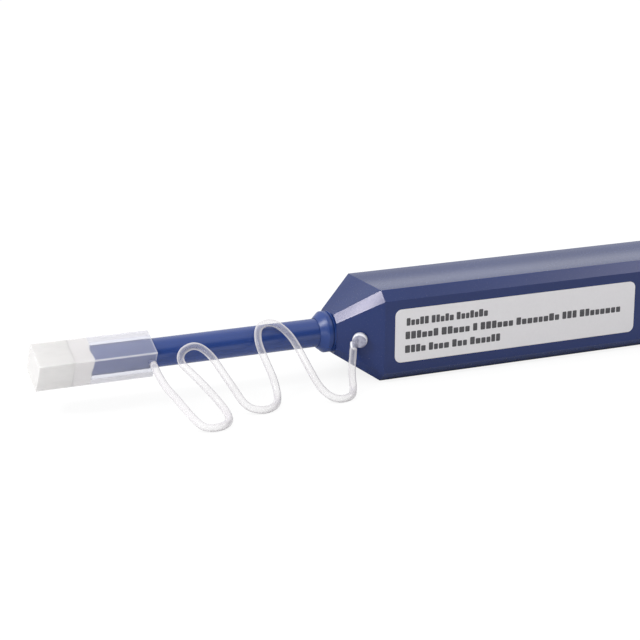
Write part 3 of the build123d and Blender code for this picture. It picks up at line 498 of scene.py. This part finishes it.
def fade(finish, value, start, end, low, high):
    """Goes smoothly from low to high as the value goes from start to end."""
    span = add_node(finish, "ShaderNodeMapRange", interpolation_type="SMOOTHSTEP")
    limits = {"From Min": start, "From Max": end, "To Min": low, "To Max": high}
    for name, limit in limits.items():
        span.inputs[name].default_value = limit
    join(finish, value, span.inputs["Value"])
    return span.outputs["Result"]


def own_place(finish):
    """The place on the object, in its own coordinates."""
    return add_node(finish, "ShaderNodeTexCoord").outputs["Object"]


def split_axes(finish, vector):
    """The X, Y and Z of a vector."""
    axes = add_node(finish, "ShaderNodeSeparateXYZ")
    join(finish, vector, axes.inputs["Vector"])
    return axes.outputs["X"], axes.outputs["Y"], axes.outputs["Z"]


def speckle(finish, size, detail=3.0, stretch=(1.0, 1.0, 1.0)):
    """A noise of the given grain size in metres, in the object's own coordinates."""
    scale = add_node(finish, "ShaderNodeMapping")
    scale.inputs["Scale"].default_value = stretch
    noise = add_node(finish, "ShaderNodeTexNoise")
    noise.inputs["Scale"].default_value = 1 / size
    noise.inputs["Detail"].default_value = detail
    join(finish, own_place(finish), scale.inputs["Vector"])
    join(finish, scale.outputs["Vector"], noise.inputs["Vector"])
    return noise.outputs["Fac"]


# Finishes
def tone(colour, share):
    """The colour made darker or lighter by a share."""
    return tuple(min(1.0, channel * share) for channel in colour)


def shade_by(finish, shader, noise, dark, light):
    """Base colour that wanders between two tones with a noise."""
    ramp = add_node(finish, "ShaderNodeValToRGB")
    for stop, position, colour in zip(ramp.color_ramp.elements, (0.35, 0.65), (dark, light)):
        stop.position = position
        stop.color = (*colour, 1.0)
    join(finish, noise, ramp.inputs["Fac"])
    join(finish, ramp.outputs["Color"], shader.inputs["Base Color"])


def roughen(finish, shader, noise, low, high):
    """Roughness that wanders between two values with a noise."""
    join(finish, between(finish, noise, low, high), shader.inputs["Roughness"])


def dent(finish, shader, noise, depth):
    """Fine relief of the given depth in metres."""
    bump = add_node(finish, "ShaderNodeBump")
    bump.inputs["Distance"].default_value = depth
    join(finish, noise, bump.inputs["Height"])
    join(finish, bump.outputs["Normal"], shader.inputs["Normal"])


def cover(finish, shader, noise, dark, light, rough, depth):
    """One noise for the colour, the gloss and the fine relief."""
    shade_by(finish, shader, noise, dark, light)
    roughen(finish, shader, noise, *rough)
    dent(finish, shader, noise, depth)


def clear_outside(finish, shader, share):
    """Sets how opaque the outer side is. The inner side of the wall isn't drawn."""
    side = add_node(finish, "ShaderNodeNewGeometry")
    outer = compute(finish, "SUBTRACT", 1.0, side.outputs["Backfacing"])
    join(finish, compute(finish, "MULTIPLY", share, outer), shader.inputs["Alpha"])


def tint_over(finish, shader, share, colour):
    """Goes over to another base colour by the share."""
    under = shader.inputs["Base Color"].links[0].from_socket
    mix = add_node(finish, "ShaderNodeMix", data_type="RGBA")
    # Inputs 6 and 7 are the two colours, and output 2 is their mix
    join(finish, share, mix.inputs["Factor"])
    join(finish, under, mix.inputs[6])
    mix.inputs[7].default_value = (*colour, 1.0)
    join(finish, mix.outputs[2], shader.inputs["Base Color"])


def moulded_plastic(name, colour, rough=(0.22, 0.30), grain=0.00025, depth=0.000002, **constants):
    """Moulded plastic: faint clouding, a fine spark-eroded grain and an uneven gloss."""
    finish, shader = new_finish(name, **constants)
    clouds = speckle(finish, size=0.012, detail=4.0, stretch=(0.4, 1.0, 1.0))
    shade_by(finish, shader, clouds, tone(colour, 0.93), tone(colour, 1.07))
    fine = speckle(finish, size=grain, detail=2.0)
    roughen(finish, shader, fine, *rough)
    dent(finish, shader, fine, depth)
    return finish


def clear_plastic(name, tint, rough, flow, depth, **constants):
    """Translucent plastic with faint flow marks along the pen."""
    finish, shader = new_finish(name, **constants)
    marks = speckle(finish, size=flow, detail=3.0, stretch=(0.35, 1.0, 1.0))
    cover(finish, shader, marks, tone(tint, 0.95), tint, rough, depth)
    return finish, shader


def steel(name):
    """Drawn steel with fine lines and a little uneven shine."""
    dark, bright = (0.42, 0.43, 0.45), (0.60, 0.61, 0.63)
    finish, shader = new_finish(name, Metallic=1.0)
    lines = speckle(finish, size=0.0002, detail=3.0, stretch=(0.1, 1.0, 1.0))
    cover(finish, shader, lines, dark, bright, rough=(0.22, 0.38), depth=0.000004)
    return finish


def wound_thread(name, colour, weave, depth):
    """Fine strands side by side, for the wound and running thread and the felt."""
    finish, shader = new_finish(name, Sheen_Weight=0.3)
    strands = speckle(finish, size=weave, detail=4.0, stretch=(1.0, 0.15, 1.0))
    dark = tone(colour, 0.82)
    cover(finish, shader, strands, dark, colour, rough=(0.75, 0.95), depth=depth)
    return finish


# Pieces
def dress(finish, *names):
    """Puts the finish on CAD nodes."""
    for name in names:
        mesh = frame["nodes"][name].data
        mesh.materials.clear()
        mesh.materials.append(finish)


def soften(width, *names):
    """Soft edges on CAD nodes: welded corners, a small bevel and flat-kept shading."""
    for name in names:
        piece = frame["nodes"][name]
        weld = piece.modifiers.new("Weld", "WELD")
        weld.merge_threshold = WELD_REACH
        bevel = piece.modifiers.new("Soft edges", "BEVEL")
        bevel.width = width
        bevel.segments = 2
        bevel.limit_method = "ANGLE"
        bevel.angle_limit = SHARP_ANGLE
        bevel.use_clamp_overlap = True
        flat = piece.modifiers.new("Flat faces", "WEIGHTED_NORMAL")
        flat.keep_sharp = False
        flat.weight = 100


def make_piece(name, mesh, finish, body):
    """A new visible piece, which rides on a body of the frame if one is given."""
    piece = bpy.data.objects.new(name, mesh)
    bpy.context.scene.collection.objects.link(piece)
    mesh.materials.append(finish)
    if body:
        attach(piece, body)
    return piece


# Lines and tubes
def route_line(route):
    """Points along the smooth NURBS line of the route."""
    curve = bpy.data.curves.new("Tether line", "CURVE")
    curve.dimensions = "3D"
    curve.resolution_u = 12
    spline = curve.splines.new("NURBS")
    spline.points.add(len(route) - 1)
    for point, place in zip(spline.points, route):
        point.co = (*place, 1.0)
    spline.order_u = 3
    spline.use_endpoint_u = True
    guide = bpy.data.objects.new("Tether line", curve)
    line = bpy.data.meshes.new_from_object(guide)
    points = [vertex.co.copy() for vertex in line.vertices]
    bpy.data.objects.remove(guide)
    bpy.data.curves.remove(curve)
    bpy.data.meshes.remove(line)
    return points


def tube_rings(points, radius, sides):
    """Rings round a line that don't twist from one to the next."""
    rings = []
    side = Vector((0.0, 0.0, 1.0))
    for index, point in enumerate(points):
        before, after = points[max(index - 1, 0)], points[min(index + 1, len(points) - 1)]
        along = (after - before).normalized()
        side = (side - along * side.dot(along)).normalized()
        across = along.cross(side)
        ring = []
        for step in range(sides):
            angle = 2 * math.pi * step / sides
            ring.append(point + radius * (math.cos(angle) * side + math.sin(angle) * across))
        rings.append(ring)
    return rings


def tube_mesh(name, rings, close_start, close_end):
    """A smooth tube through the rings, with flat ends where they are closed."""
    mesh = bpy.data.meshes.new(name)
    build = bmesh.new()
    loops = [[build.verts.new(place) for place in ring] for ring in rings]
    sides = len(loops[0])
    for first, second in zip(loops, loops[1:]):
        for step in range(sides):
            following = (step + 1) % sides
            build.faces.new((first[step], first[following], second[following], second[step]))
    if close_start:
        build.faces.new(list(reversed(loops[0])))
    if close_end:
        build.faces.new(loops[-1])
    bmesh.ops.recalc_face_normals(build, faces=build.faces)
    build.to_mesh(mesh)
    build.free()
    for face in mesh.polygons:
        face.use_smooth = len(face.vertices) == 4
    return mesh


def block_outline(width, height, corner):
    """A rounded block from the lower left corner, as flat points."""
    places = []
    # Three points round each corner
    for cx, cy, turn in (
        (width - corner, corner, -90),
        (width - corner, height - corner, 0),
        (corner, height - corner, 90),
        (corner, corner, 180),
    ):
        for step in range(3):
            angle = math.radians(turn + 45 * step)
            places.append((cx + corner * math.cos(angle), cy + corner * math.sin(angle)))
    return places


# Operators
class PEN_OT_case(bpy.types.Operator):
    """Gives the case and its rear cap soft edges and their moulded blue"""

    bl_idname = "pen.case"
    bl_label = "Dress Case"

    def execute(self, context):
        finish, sizes = context.scene.pen_finish, context.scene.pen_sizes
        blue = moulded_plastic(
            "Body moulding",
            finish.case_blue[:],
            Specular_IOR_Level=0.34,
            Specular_Tint=(1.0, 0.93, 1.0, 1.0),
        )
        self.sink_faces(blue)
        dress(blue, "case_shell", "rear_cap")
        soften(sizes.case_edge, "case_shell", "rear_cap")
        return {"FINISHED"}

    def sink_faces(self, blue):
        """The upper and lower faces shrank in one shallow wave across their width."""
        width, slope, crest = 0.0135, 0.055, 0.0036
        pace = -2 * math.pi / width
        across = split_axes(blue, own_place(blue))[1]
        wave = compute(blue, "SINE", compute(blue, "MULTIPLY_ADD", across, pace, pace * crest))
        sunk = add_node(blue, "ShaderNodeBump")
        sunk.inputs["Distance"].default_value = slope * width / (2 * math.pi)
        join(blue, wave, sunk.inputs["Height"])
        join(blue, sunk.outputs["Normal"], blue.node_tree.nodes["Bump"].inputs["Normal"])


class PEN_OT_collar(bpy.types.Operator):
    """Gives the nose collar soft edges and its own blue"""

    bl_idname = "pen.collar"
    bl_label = "Dress Collar"

    def execute(self, context):
        finish, sizes = context.scene.pen_finish, context.scene.pen_sizes
        blue = moulded_plastic(
            "Collar moulding",
            finish.collar_blue[:],
            rough=(0.30, 0.42),
            grain=0.0005,
            depth=0.000006,
        )
        dress(blue, "nose_collar")
        soften(sizes.small_edge, "nose_collar")
        return {"FINISHED"}


class PEN_OT_label(bpy.types.Operator):
    """Gives the label its paper and lays plain print blocks on it"""

    bl_idname = "pen.label"
    bl_label = "Dress Label"

    # Each row's left end, foot, length and the number of blocks in its words
    rows = (
        (0.00240, 0.00720, 0.0184, (5, 5, 7)),
        (0.00220, 0.00452, 0.0492, (6, 5, 1, 6, 8, 3, 8)),
        (0.00215, 0.00178, 0.0214, (4, 4, 3, 6)),
    )
    # Low blocks and rounded corners, as shares of the tall height
    low_share = 0.74
    corner_share = 0.1
    # Gaps between blocks and between words, as shares of a block's width
    gap_share = 0.22
    space_share = 0.75
    # How far widths wander, and how many blocks inside a word are tall
    wander_share = 0.12
    tall_share = 0.3
    # Seed of these random widths and heights
    seed = 7

    def execute(self, context):
        finish, sizes = context.scene.pen_finish, context.scene.pen_sizes
        paper, shader = new_finish("Label paper", Specular_IOR_Level=0.35)
        fibres = speckle(paper, size=0.0006, detail=5.0)
        light = finish.label_paper[:]
        dark = tone(light, 0.98)
        cover(paper, shader, fibres, dark, light, rough=(0.45, 0.60), depth=0.000004)
        dress(paper, "label")
        ink, shader = new_finish("Label ink", Specular_IOR_Level=0.3)
        patches = speckle(ink, size=0.0004, detail=2.0)
        black = finish.label_ink
        shade_by(ink, shader, patches, tone(black, 0.85), tone(black, 1.15))
        roughen(ink, shader, patches, 0.5, 0.6)
        self.lay_print(sizes, ink)
        return {"FINISHED"}

    def lay_print(self, sizes, ink):
        """Word-like rows of small rounded blocks, tall and low, with no letters in them."""
        tall, low = sizes.print_height, sizes.print_height * self.low_share
        chance = random.Random(self.seed)
        mesh = bpy.data.meshes.new("label_print")
        build = bmesh.new()
        for left, foot, length, words in self.rows:
            x = LABEL_LOW.x + left
            gaps = self.gap_share * (sum(words) - len(words))
            spaces = self.space_share * (len(words) - 1)
            step_width = length / (sum(words) + gaps + spaces)
            for count in words:
                for place in range(count):
                    wander = chance.uniform(1 - self.wander_share, 1 + self.wander_share)
                    width = step_width * wander
                    height = tall if place == 0 or chance.random() < self.tall_share else low
                    outline = block_outline(width, height, tall * self.corner_share)
                    self.add_block(build, outline, x, LABEL_LOW.z + foot, sizes.print_rise)
                    x += width + (self.gap_share * step_width if place < count - 1 else 0)
                x += self.space_share * step_width
        build.to_mesh(mesh)
        build.free()
        make_piece("label_print", mesh, ink, "case")

    def add_block(self, build, outline, x, z, rise):
        """A block that stands on the label, open towards the paper."""
        front = LABEL_LOW.y - rise
        face = [build.verts.new((x + u, front, z + v)) for u, v in outline]
        back = [build.verts.new((x + u, LABEL_LOW.y, z + v)) for u, v in outline]
        build.faces.new(face)
        for step in range(len(face)):
            following = (step + 1) % len(face)
            build.faces.new((face[step], back[step], back[following], face[following]))


class PEN_OT_tether(bpy.types.Operator):
    """Lays the clear tether between the guide cap and the case, and dresses its peg"""

    bl_idname = "pen.tether"
    bl_label = "Lay Tether"

    # Where the strand starts and ends turning away from the eye, and how opaque it is there
    side_fade = (0.06, 0.55, 0.34, 0.95)
    # The painted highlight round the rim of the peg's head fades in and out between these shares
    # of its radius
    highlight_in_shares = (0.76, 0.86)
    highlight_out_shares = (1.01, 1.06)

    def execute(self, context):
        finish, sizes = context.scene.pen_finish, context.scene.pen_sizes
        clear, shader = clear_plastic(
            "Tether plastic",
            finish.tether_tint[:],
            rough=(0.16, 0.24),
            flow=0.008,
            depth=0.000006,
            IOR=1.45,
        )
        side = add_node(clear, "ShaderNodeLayerWeight")
        clear_outside(clear, shader, fade(clear, side.outputs["Facing"], *self.side_fade))
        self.lay_strand(sizes, clear)
        self.dress_peg(sizes)
        return {"FINISHED"}

    def lay_strand(self, sizes, clear):
        """Two lengths, one to the nozzle and one to the case, that meet on the nozzle."""
        points = route_line(TETHER_ROUTE)
        if len(points) < 2 * len(TETHER_ROUTE):
            raise RuntimeError("The tether's line has too few points")
        rings = tube_rings(points, sizes.tether_diameter / 2, sizes.tether_sides)
        halfway = Vector(sizes.tether_cut)
        cut = min(range(len(points)), key=lambda index: (points[index] - halfway).length)
        front = tube_mesh("tether_front", rings[: cut + 1], True, False)
        rear = tube_mesh("tether_rear", rings[cut:], False, True)
        for name, mesh, line, exit_point, bodies in (
            ("tether_front", front, points[: cut + 1], points[0], ("cap", "cartridge")),
            ("tether_rear", rear, points[cut:], points[-1], ("cartridge", "case")),
        ):
            piece = make_piece(name, mesh, clear, None)
            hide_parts("tether")
            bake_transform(piece)

    def dress_peg(self, sizes):
        """The peg is hazy on its neck and in the middle of its head, with a painted rim highlight.
        """
        dark, light = (0.25, 0.25, 0.34), (0.46, 0.46, 0.56)
        peg, shader = new_finish("Peg plastic", IOR=1.45, Transmission_Weight=0.15)
        swirls = speckle(peg, size=0.0006, detail=2.0)
        cover(peg, shader, swirls, dark, light, rough=(0.08, 0.24), depth=0.00008)
        self.paint_peg_rim_highlight(peg, shader)
        soften(2 * sizes.small_edge, "tether_peg")
        dress(peg, "tether_peg")

    def paint_peg_rim_highlight(self, peg, shader):
        """Paints a highlight round the rim of the peg's head, as a paler base colour."""
        low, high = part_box("tether_peg")
        middle, head = (low.z + high.z) / 2, (high.z - low.z) / 2
        from_foot = add_node(peg, "ShaderNodeVectorMath", operation="SUBTRACT")
        from_foot.inputs[1].default_value = (*PEG_FOOT, middle)
        join(peg, own_place(peg), from_foot.inputs[0])
        across = add_node(peg, "ShaderNodeVectorMath", operation="CROSS_PRODUCT")
        across.inputs[1].default_value = PEG_OUTWARD
        join(peg, from_foot.outputs["Vector"], across.inputs[0])
        length = add_node(peg, "ShaderNodeVectorMath", operation="LENGTH")
        join(peg, across.outputs["Vector"], length.inputs[0])
        radius = length.outputs["Value"]
        start, full = (head * share for share in self.highlight_in_shares)
        inside = fade(peg, radius, start, full, 0.0, 1.0)
        start, full = (head * share for share in self.highlight_out_shares)
        outside = fade(peg, radius, start, full, 1.0, 0.0)
        # Colour of the painted highlight round the rim
        bright = (0.95, 0.95, 1.0)
        tint_over(peg, shader, compute(peg, "MULTIPLY", inside, outside), bright)


class PEN_OT_guide_cap(bpy.types.Operator):
    """Gives the guide cap and its lid their frosted clear plastic"""

    bl_idname = "pen.guide_cap"
    bl_label = "Dress Guide Cap"

    # Milky zones: where each starts and is full from its edge in metres, and how milky it gets
    # The corner zone paints the pale highlight along the cap's edges as milk
    corner_highlight_zone = (-0.0004, -0.0001, 0.75)
    mouth_zone = (-0.0004, -0.0001, 0.3)
    front_zone = (0.0005, 0.0001, 1.0)
    far_zone = (0.0018, 0.0012, 0.7)
    # Grain and reach of the front zone's wandering edge, and how opaque full milk is
    wander_grain = 0.0030
    wander_reach = 0.0012
    milk_opacity = 0.97

    def execute(self, context):
        finish, sizes = context.scene.pen_finish, context.scene.pen_sizes
        cap, shader = clear_plastic(
            "Cap plastic",
            finish.haze_tint[:],
            rough=(0.10, 0.18),
            flow=0.004,
            depth=0.000006,
            IOR=1.49,
            Subsurface_Weight=0.5,
            Subsurface_Radius=(1.0, 1.0, 1.0),
            Subsurface_Scale=0.0015,
        )
        milk = self.find_milk(cap)
        tint_over(cap, shader, milk, finish.milk_tint)
        clear_outside(cap, shader, between(cap, milk, finish.cap_haze, self.milk_opacity))
        dress(cap, "guide_cap")
        lid, shader = clear_plastic(
            "Lid plastic",
            finish.lid_tint[:],
            rough=(0.35, 0.5),
            flow=0.0012,
            depth=0.00001,
            IOR=1.45,
            Subsurface_Weight=0.4,
            Subsurface_Radius=(1.0, 1.0, 1.0),
            Subsurface_Scale=0.0012,
        )
        dress(lid, "cap_lid")
        soften(sizes.small_edge, "cap_lid")
        return {"FINISHED"}

    def find_milk(self, cap):
        """How milky the cap is: most before the nozzle, less at corners, far sides and mouth.

        The thin wall between lets the nozzle show, and the milk at the corners is a painted
        highlight along their edges.
        """
        nozzle_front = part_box("nozzle_tube")[0].x
        mouth_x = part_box("guide_cap")[1].x
        x, y, z = self.cap_axes(cap)
        inward = compute(cap, "MINIMUM", compute(cap, "ABSOLUTE", y), compute(cap, "ABSOLUTE", z))
        clouds = speckle(cap, size=self.wander_grain, detail=0.0)
        wander = compute(cap, "MULTIPLY_ADD", clouds, self.wander_reach, x)
        frontward = compute(cap, "SUBTRACT", z, y)
        return largest(
            cap,
            self.zone(cap, inward, CAP_HALF_SIDE, self.corner_highlight_zone),
            self.zone(cap, wander, nozzle_front, self.front_zone),
            self.zone(cap, x, mouth_x, self.mouth_zone),
            self.zone(cap, frontward, 0.0, self.far_zone),
        )

    def cap_axes(self, cap):
        """X, Y and Z along the sides of the turned square cap, from the pen's axis."""
        axis = Vector((0.0, 0.0, CAD_BOX[1][2] / 2))
        square = add_node(cap, "ShaderNodeMapping")
        square.inputs["Rotation"].default_value = (-CAP_TURN, 0.0, 0.0)
        square.inputs["Location"].default_value = Matrix.Rotation(-CAP_TURN, 3, "X") @ -axis
        join(cap, own_place(cap), square.inputs["Vector"])
        return split_axes(cap, square.outputs["Vector"])

    def zone(self, cap, value, edge, limits):
        """One milky zone near an edge."""
        start, full, share = limits
        return fade(cap, value, edge + start, edge + full, 0.0, share)


class PEN_OT_nozzle(bpy.types.Operator):
    """Gives the sliding nozzle, its tip and the turning shaft's head their finishes"""

    bl_idname = "pen.nozzle"
    bl_label = "Dress Nozzle"

    def execute(self, context):
        finish, sizes = context.scene.pen_finish, context.scene.pen_sizes
        blue = moulded_plastic(
            "Nozzle moulding",
            finish.nozzle_blue[:],
            rough=(0.24, 0.28),
            grain=0.0006,
            depth=0.0000006,
            Specular_IOR_Level=0.62,
        )
        dress(blue, "nozzle_tube")
        soften(sizes.small_edge, "nozzle_tube")
        pale = moulded_plastic("Tip moulding", finish.tip_white[:], rough=(0.35, 0.45))
        dress(pale, "nozzle_tip", "tip_head")
        return {"FINISHED"}


class PEN_OT_carrier(bpy.types.Operator):
    """Gives the carrier halves, their screws and the steel pins their finishes"""

    bl_idname = "pen.carrier"
    bl_label = "Dress Carrier"

    def execute(self, context):
        finish, sizes = context.scene.pen_finish, context.scene.pen_sizes
        grey = moulded_plastic(
            "Carrier moulding", finish.carrier_grey[:], rough=(0.42, 0.55), grain=0.0005
        )
        dress(grey, "carrier_base", "carrier_cover")
        soften(sizes.small_edge, "carrier_base", "carrier_cover")
        dress(steel("Drawn steel"), "carrier_screws", "guide_pins", "turning_pin")
        return {"FINISHED"}


class PEN_OT_drive(bpy.types.Operator):
    """Gives the reels, gears and thread their finishes"""

    bl_idname = "pen.drive"
    bl_label = "Dress Drive"

    def execute(self, context):
        finish = context.scene.pen_finish
        white = moulded_plastic(
            "Gear moulding", finish.gear_white[:], rough=(0.38, 0.5), grain=0.0004
        )
        dress(white, "drive_pinion", "drive_rack", "supply_reel", "takeup_reel", "stop_pawl")
        dress(white, "tip_bearing", "tip_shaft")
        thread = wound_thread(
            "Woven thread", finish.thread_white[:], weave=0.00012, depth=0.00002
        )
        dress(thread, "fresh_thread", "used_thread", "cleaning_thread")
        felt = wound_thread("Brake felt", finish.felt_grey[:], weave=0.0003, depth=0.00006)
        dress(felt, "brake_washer")
        return {"FINISHED"}


class PEN_OT_springs(bpy.types.Operator):
    """Winds the return spring and the tip spring"""

    bl_idname = "pen.springs"
    bl_label = "Wind Springs"

    wire_sides = 10
    steps_per_turn = 24

    def execute(self, context):
        sizes = context.scene.pen_sizes
        wire = steel("Spring steel")
        for node, radius, turns, body, joint in (
            ("return_spring", sizes.return_wire, sizes.return_turns, "case", "push_stroke"),
            ("tip_spring", sizes.tip_wire, sizes.tip_turns, "cartridge", "tip_press"),
        ):
            self.wind(node, wire, radius, turns, body, joint)
        return {"FINISHED"}

    def wind(self, node, finish, wire, turns, body, joint):
        """A coil of round wire in the node's place, seated at its rear end."""
        low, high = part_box(node)
        middle = (low + high) / 2
        radius = (high.z - low.z) / 2 - wire
        start, end = low.x + wire, high.x - wire
        steps = self.steps_per_turn * turns
        line = []
        for step in range(steps + 1):
            angle = 2 * math.pi * turns * step / steps
            x = start + (end - start) * step / steps
            y, z = radius * math.cos(angle), radius * math.sin(angle)
            line.append(Vector((x, middle.y + y, middle.z + z)))
        mesh = tube_mesh(node + "_coil", tube_rings(line, wire, self.wire_sides), True, True)
        coil = make_piece(node + "_coil", mesh, finish, body)
        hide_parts(node)
        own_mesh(coil)

    def joint_travel(self, name):
        """How far the joint slides, in metres."""
        for joint in frame["joints"]:
            if joint["name"] == name:
                return max(abs(limit) for limit in joint["range_m"])
        raise RuntimeError("There is no joint " + name)


class PEN_OT_stage(bpy.types.Operator):
    """Lays the white floor and sets the surroundings, the lamps and the camera"""

    bl_idname = "pen.stage"
    bl_label = "Set Stage"

    # Each lamp's name and power setting, where it hangs, what it shines at, its width and depth
    lamps = (
        ("Top lamp", "top_light", (0.478, -0.14, 0.415), (0.0, 0.0, 0.01), 0.4, 0.35),
        ("Nose lamp", "nose_light", (-0.465, -0.033, 0.375), (-0.052, 0.0, 0.012), 0.1, 0.1),
        ("Cap lamp", "cap_light", (-0.158, -0.058, 0.016), (-0.105, -0.002, 0.009), 0.03, 0.03),
    )
    # How far from the pen the floor dims, its least strength for the camera, and its full one
    contact_reach = 0.014
    contact_least = 0.92
    floor_strength = 1.05
    # Where the surroundings change as a direction rises or turns back, and their light there
    overhead_fade = (0.50, 0.72, 0.0, 1.0)
    behind_fade = (-0.10, 0.45, 0.0, 1.0)
    low_band_fade = (0.16, 0.38, 1.15, 0.72)
    high_band_fade = (0.38, 0.52, 0.0, 0.50)

    def execute(self, context):
        stage = context.scene.pen_stage
        context.scene.view_settings.view_transform = "Standard"
        self.lay_floor(stage)
        self.set_surroundings(context.scene, stage)
        for name, power, place, target, width, depth in self.lamps:
            self.hang_lamp(name, getattr(stage, power), place, target, width, depth)
        self.set_camera(context.scene, stage)
        return {"FINISHED"}

    def lay_floor(self, stage):
        """A flat square floor of white paper."""
        half = stage.floor_size / 2
        mesh = bpy.data.meshes.new("floor")
        corners = [(-half, -half, 0.0), (half, -half, 0.0), (half, half, 0.0), (-half, half, 0.0)]
        mesh.from_pydata(corners, [], [(0, 1, 2, 3)])
        floor = bpy.data.objects.new("floor", mesh)
        bpy.context.scene.collection.objects.link(floor)
        mesh.materials.append(self.floor_paper(stage))

    def floor_paper(self, stage):
        """Pale matt paper, mixed with plain white where it is seen directly."""
        paper, shader = new_finish(
            "White floor",
            Base_Color=(0.85, 0.85, 0.85, 1.0),
            Specular_IOR_Level=0.0,
            Roughness=0.9,
        )
        white = add_node(paper, "ShaderNodeEmission")
        join(paper, self.floor_glow(paper), white.inputs["Strength"])
        share = compute(paper, "MULTIPLY", self.seen_directly(paper), stage.floor_white)
        mixed = add_node(paper, "ShaderNodeMixShader")
        join(paper, share, mixed.inputs["Fac"])
        join(paper, shader.outputs["BSDF"], mixed.inputs[1])
        join(paper, white.outputs["Emission"], mixed.inputs[2])
        surface = paper.node_tree.nodes["Material Output"].inputs["Surface"]
        join(paper, mixed.outputs["Shader"], surface)
        return paper

    def floor_glow(self, paper):
        """Dims close under the pen: fully in the pen's gloss, a little for the camera."""
        closeness = add_node(paper, "ShaderNodeAmbientOcclusion", samples=8)
        closeness.inputs["Distance"].default_value = self.contact_reach
        rays = add_node(paper, "ShaderNodeLightPath")
        least = between(paper, rays.outputs["Is Camera Ray"], 0.0, self.contact_least)
        return between(paper, closeness.outputs["AO"], least, self.floor_strength)

    def seen_directly(self, paper):
        """1 for rays from the camera, off gloss and through clear plastic, else 0."""
        rays = add_node(paper, "ShaderNodeLightPath")
        names = ("Is Camera Ray", "Is Glossy Ray", "Is Transmission Ray")
        return largest(paper, *(rays.outputs[name] for name in names))

    def set_surroundings(self, scene, stage):
        """Plain white for the camera; for the pen, bright overhead and in a band behind it."""
        world = bpy.data.worlds.new("White surroundings")
        scene.world = world
        world.use_nodes = True
        surface = world.node_tree.nodes["Background"]
        surface.inputs["Color"].default_value = (1.0, 1.0, 1.0, 1.0)
        direction = add_node(world, "ShaderNodeTexCoord").outputs["Generated"]
        depth, height = split_axes(world, direction)[1:]
        overhead = fade(world, height, *self.overhead_fade)
        behind = fade(world, depth, *self.behind_fade)
        low_band = fade(world, height, *self.low_band_fade)
        high_band = fade(world, height, *self.high_band_fade)
        bands = compute(world, "ADD", low_band, high_band)
        bright = largest(world, overhead, compute(world, "MULTIPLY", bands, behind))
        studio = between(world, bright, stage.room_light, stage.sky_light, clamp=False)
        rays = add_node(world, "ShaderNodeLightPath")
        direct = largest(world, rays.outputs["Is Camera Ray"], rays.outputs["Is Transmission Ray"])
        strength = add_node(world, "ShaderNodeMix", data_type="FLOAT")
        strength.inputs["B"].default_value = 1.0
        join(world, direct, strength.inputs["Factor"])
        join(world, studio, strength.inputs["A"])
        join(world, strength.outputs["Result"], surface.inputs["Strength"])

    def hang_lamp(self, name, power, place, target, width, depth):
        """A rectangular lamp that shines at its target and isn't seen itself."""
        lamp = bpy.data.lights.new(name, "AREA")
        lamp.shape = "RECTANGLE"
        lamp.size = width
        lamp.size_y = depth
        lamp.energy = power
        holder = bpy.data.objects.new(name, lamp)
        bpy.context.scene.collection.objects.link(holder)
        aim = Vector(target) - Vector(place)
        holder.location = place
        holder.rotation_euler = aim.to_track_quat("-Z", "Y").to_euler()
        holder.visible_camera = False

    def set_camera(self, scene, stage):
        """The camera at its place, turned by its heading, dip and roll."""
        turn, dip, roll = stage.camera_turn, stage.camera_dip, stage.camera_roll
        level = Vector((math.cos(turn), -math.sin(turn), 0.0))
        forward = Vector((math.sin(turn), math.cos(turn), 0.0))
        ahead = forward * math.cos(dip) - Vector((0.0, 0.0, math.sin(dip)))
        rise = level.cross(ahead)
        right = math.cos(roll) * level + math.sin(roll) * rise
        up = math.cos(roll) * rise - math.sin(roll) * level
        camera = bpy.data.cameras.new("Photo camera")
        camera.sensor_fit = "HORIZONTAL"
        camera.sensor_width = 36.0
        camera.lens = stage.lens
        camera.clip_start = 0.01
        camera.clip_end = 50.0
        holder = bpy.data.objects.new("Photo camera", camera)
        scene.collection.objects.link(holder)
        turned = Matrix((right, up, -ahead)).transposed().to_4x4()
        holder.matrix_world = Matrix.Translation(Vector(stage.camera_place)) @ turned
        scene.camera = holder


class PEN_PT_sidebar(bpy.types.Panel):
    """Lists the pen's sizes, finishes and stage, and the steps that build its looks"""

    bl_label = "Cleaning Pen"
    bl_idname = "PEN_PT_sidebar"
    bl_space_type = "VIEW_3D"
    bl_region_type = "UI"
    bl_category = "Cleaning Pen"

    def draw(self, context):
        for group in (context.scene.pen_sizes, context.scene.pen_finish, context.scene.pen_stage):
            box = self.layout.box()
            for name in group.__annotations__:
                box.prop(group, name)
        for step in STEPS:
            self.layout.operator(step.bl_idname)


GROUPS = {"pen_sizes": PenSizes, "pen_finish": PenFinish, "pen_stage": PenStage}
STEPS = (
    PEN_OT_tether,
    PEN_OT_guide_cap,
    PEN_OT_nozzle,
    PEN_OT_collar,
    PEN_OT_case,
    PEN_OT_label,
    PEN_OT_carrier,
    PEN_OT_drive,
    PEN_OT_springs,
    PEN_OT_stage,
)


def register():
    """Adds the groups, the steps and the panel to Blender."""
    for name, group in GROUPS.items():
        bpy.utils.register_class(group)
        setattr(bpy.types.Scene, name, PointerProperty(type=group))
    for step in STEPS:
        bpy.utils.register_class(step)
    bpy.utils.register_class(PEN_PT_sidebar)


def unregister():
    """Takes them out again."""
    bpy.utils.unregister_class(PEN_PT_sidebar)
    for step in reversed(STEPS):
        bpy.utils.unregister_class(step)
    for name, group in GROUPS.items():
        delattr(bpy.types.Scene, name)
        bpy.utils.unregister_class(group)


def main():
    """Builds the looks."""
    register()
    bpy.ops.pen.tether()
    bpy.ops.pen.guide_cap()
    bpy.ops.pen.nozzle()
    bpy.ops.pen.collar()
    bpy.ops.pen.case()
    bpy.ops.pen.label()
    bpy.ops.pen.carrier()
    bpy.ops.pen.drive()
    bpy.ops.pen.springs()
    bpy.ops.pen.stage()


if __name__ == "__main__":
    main()
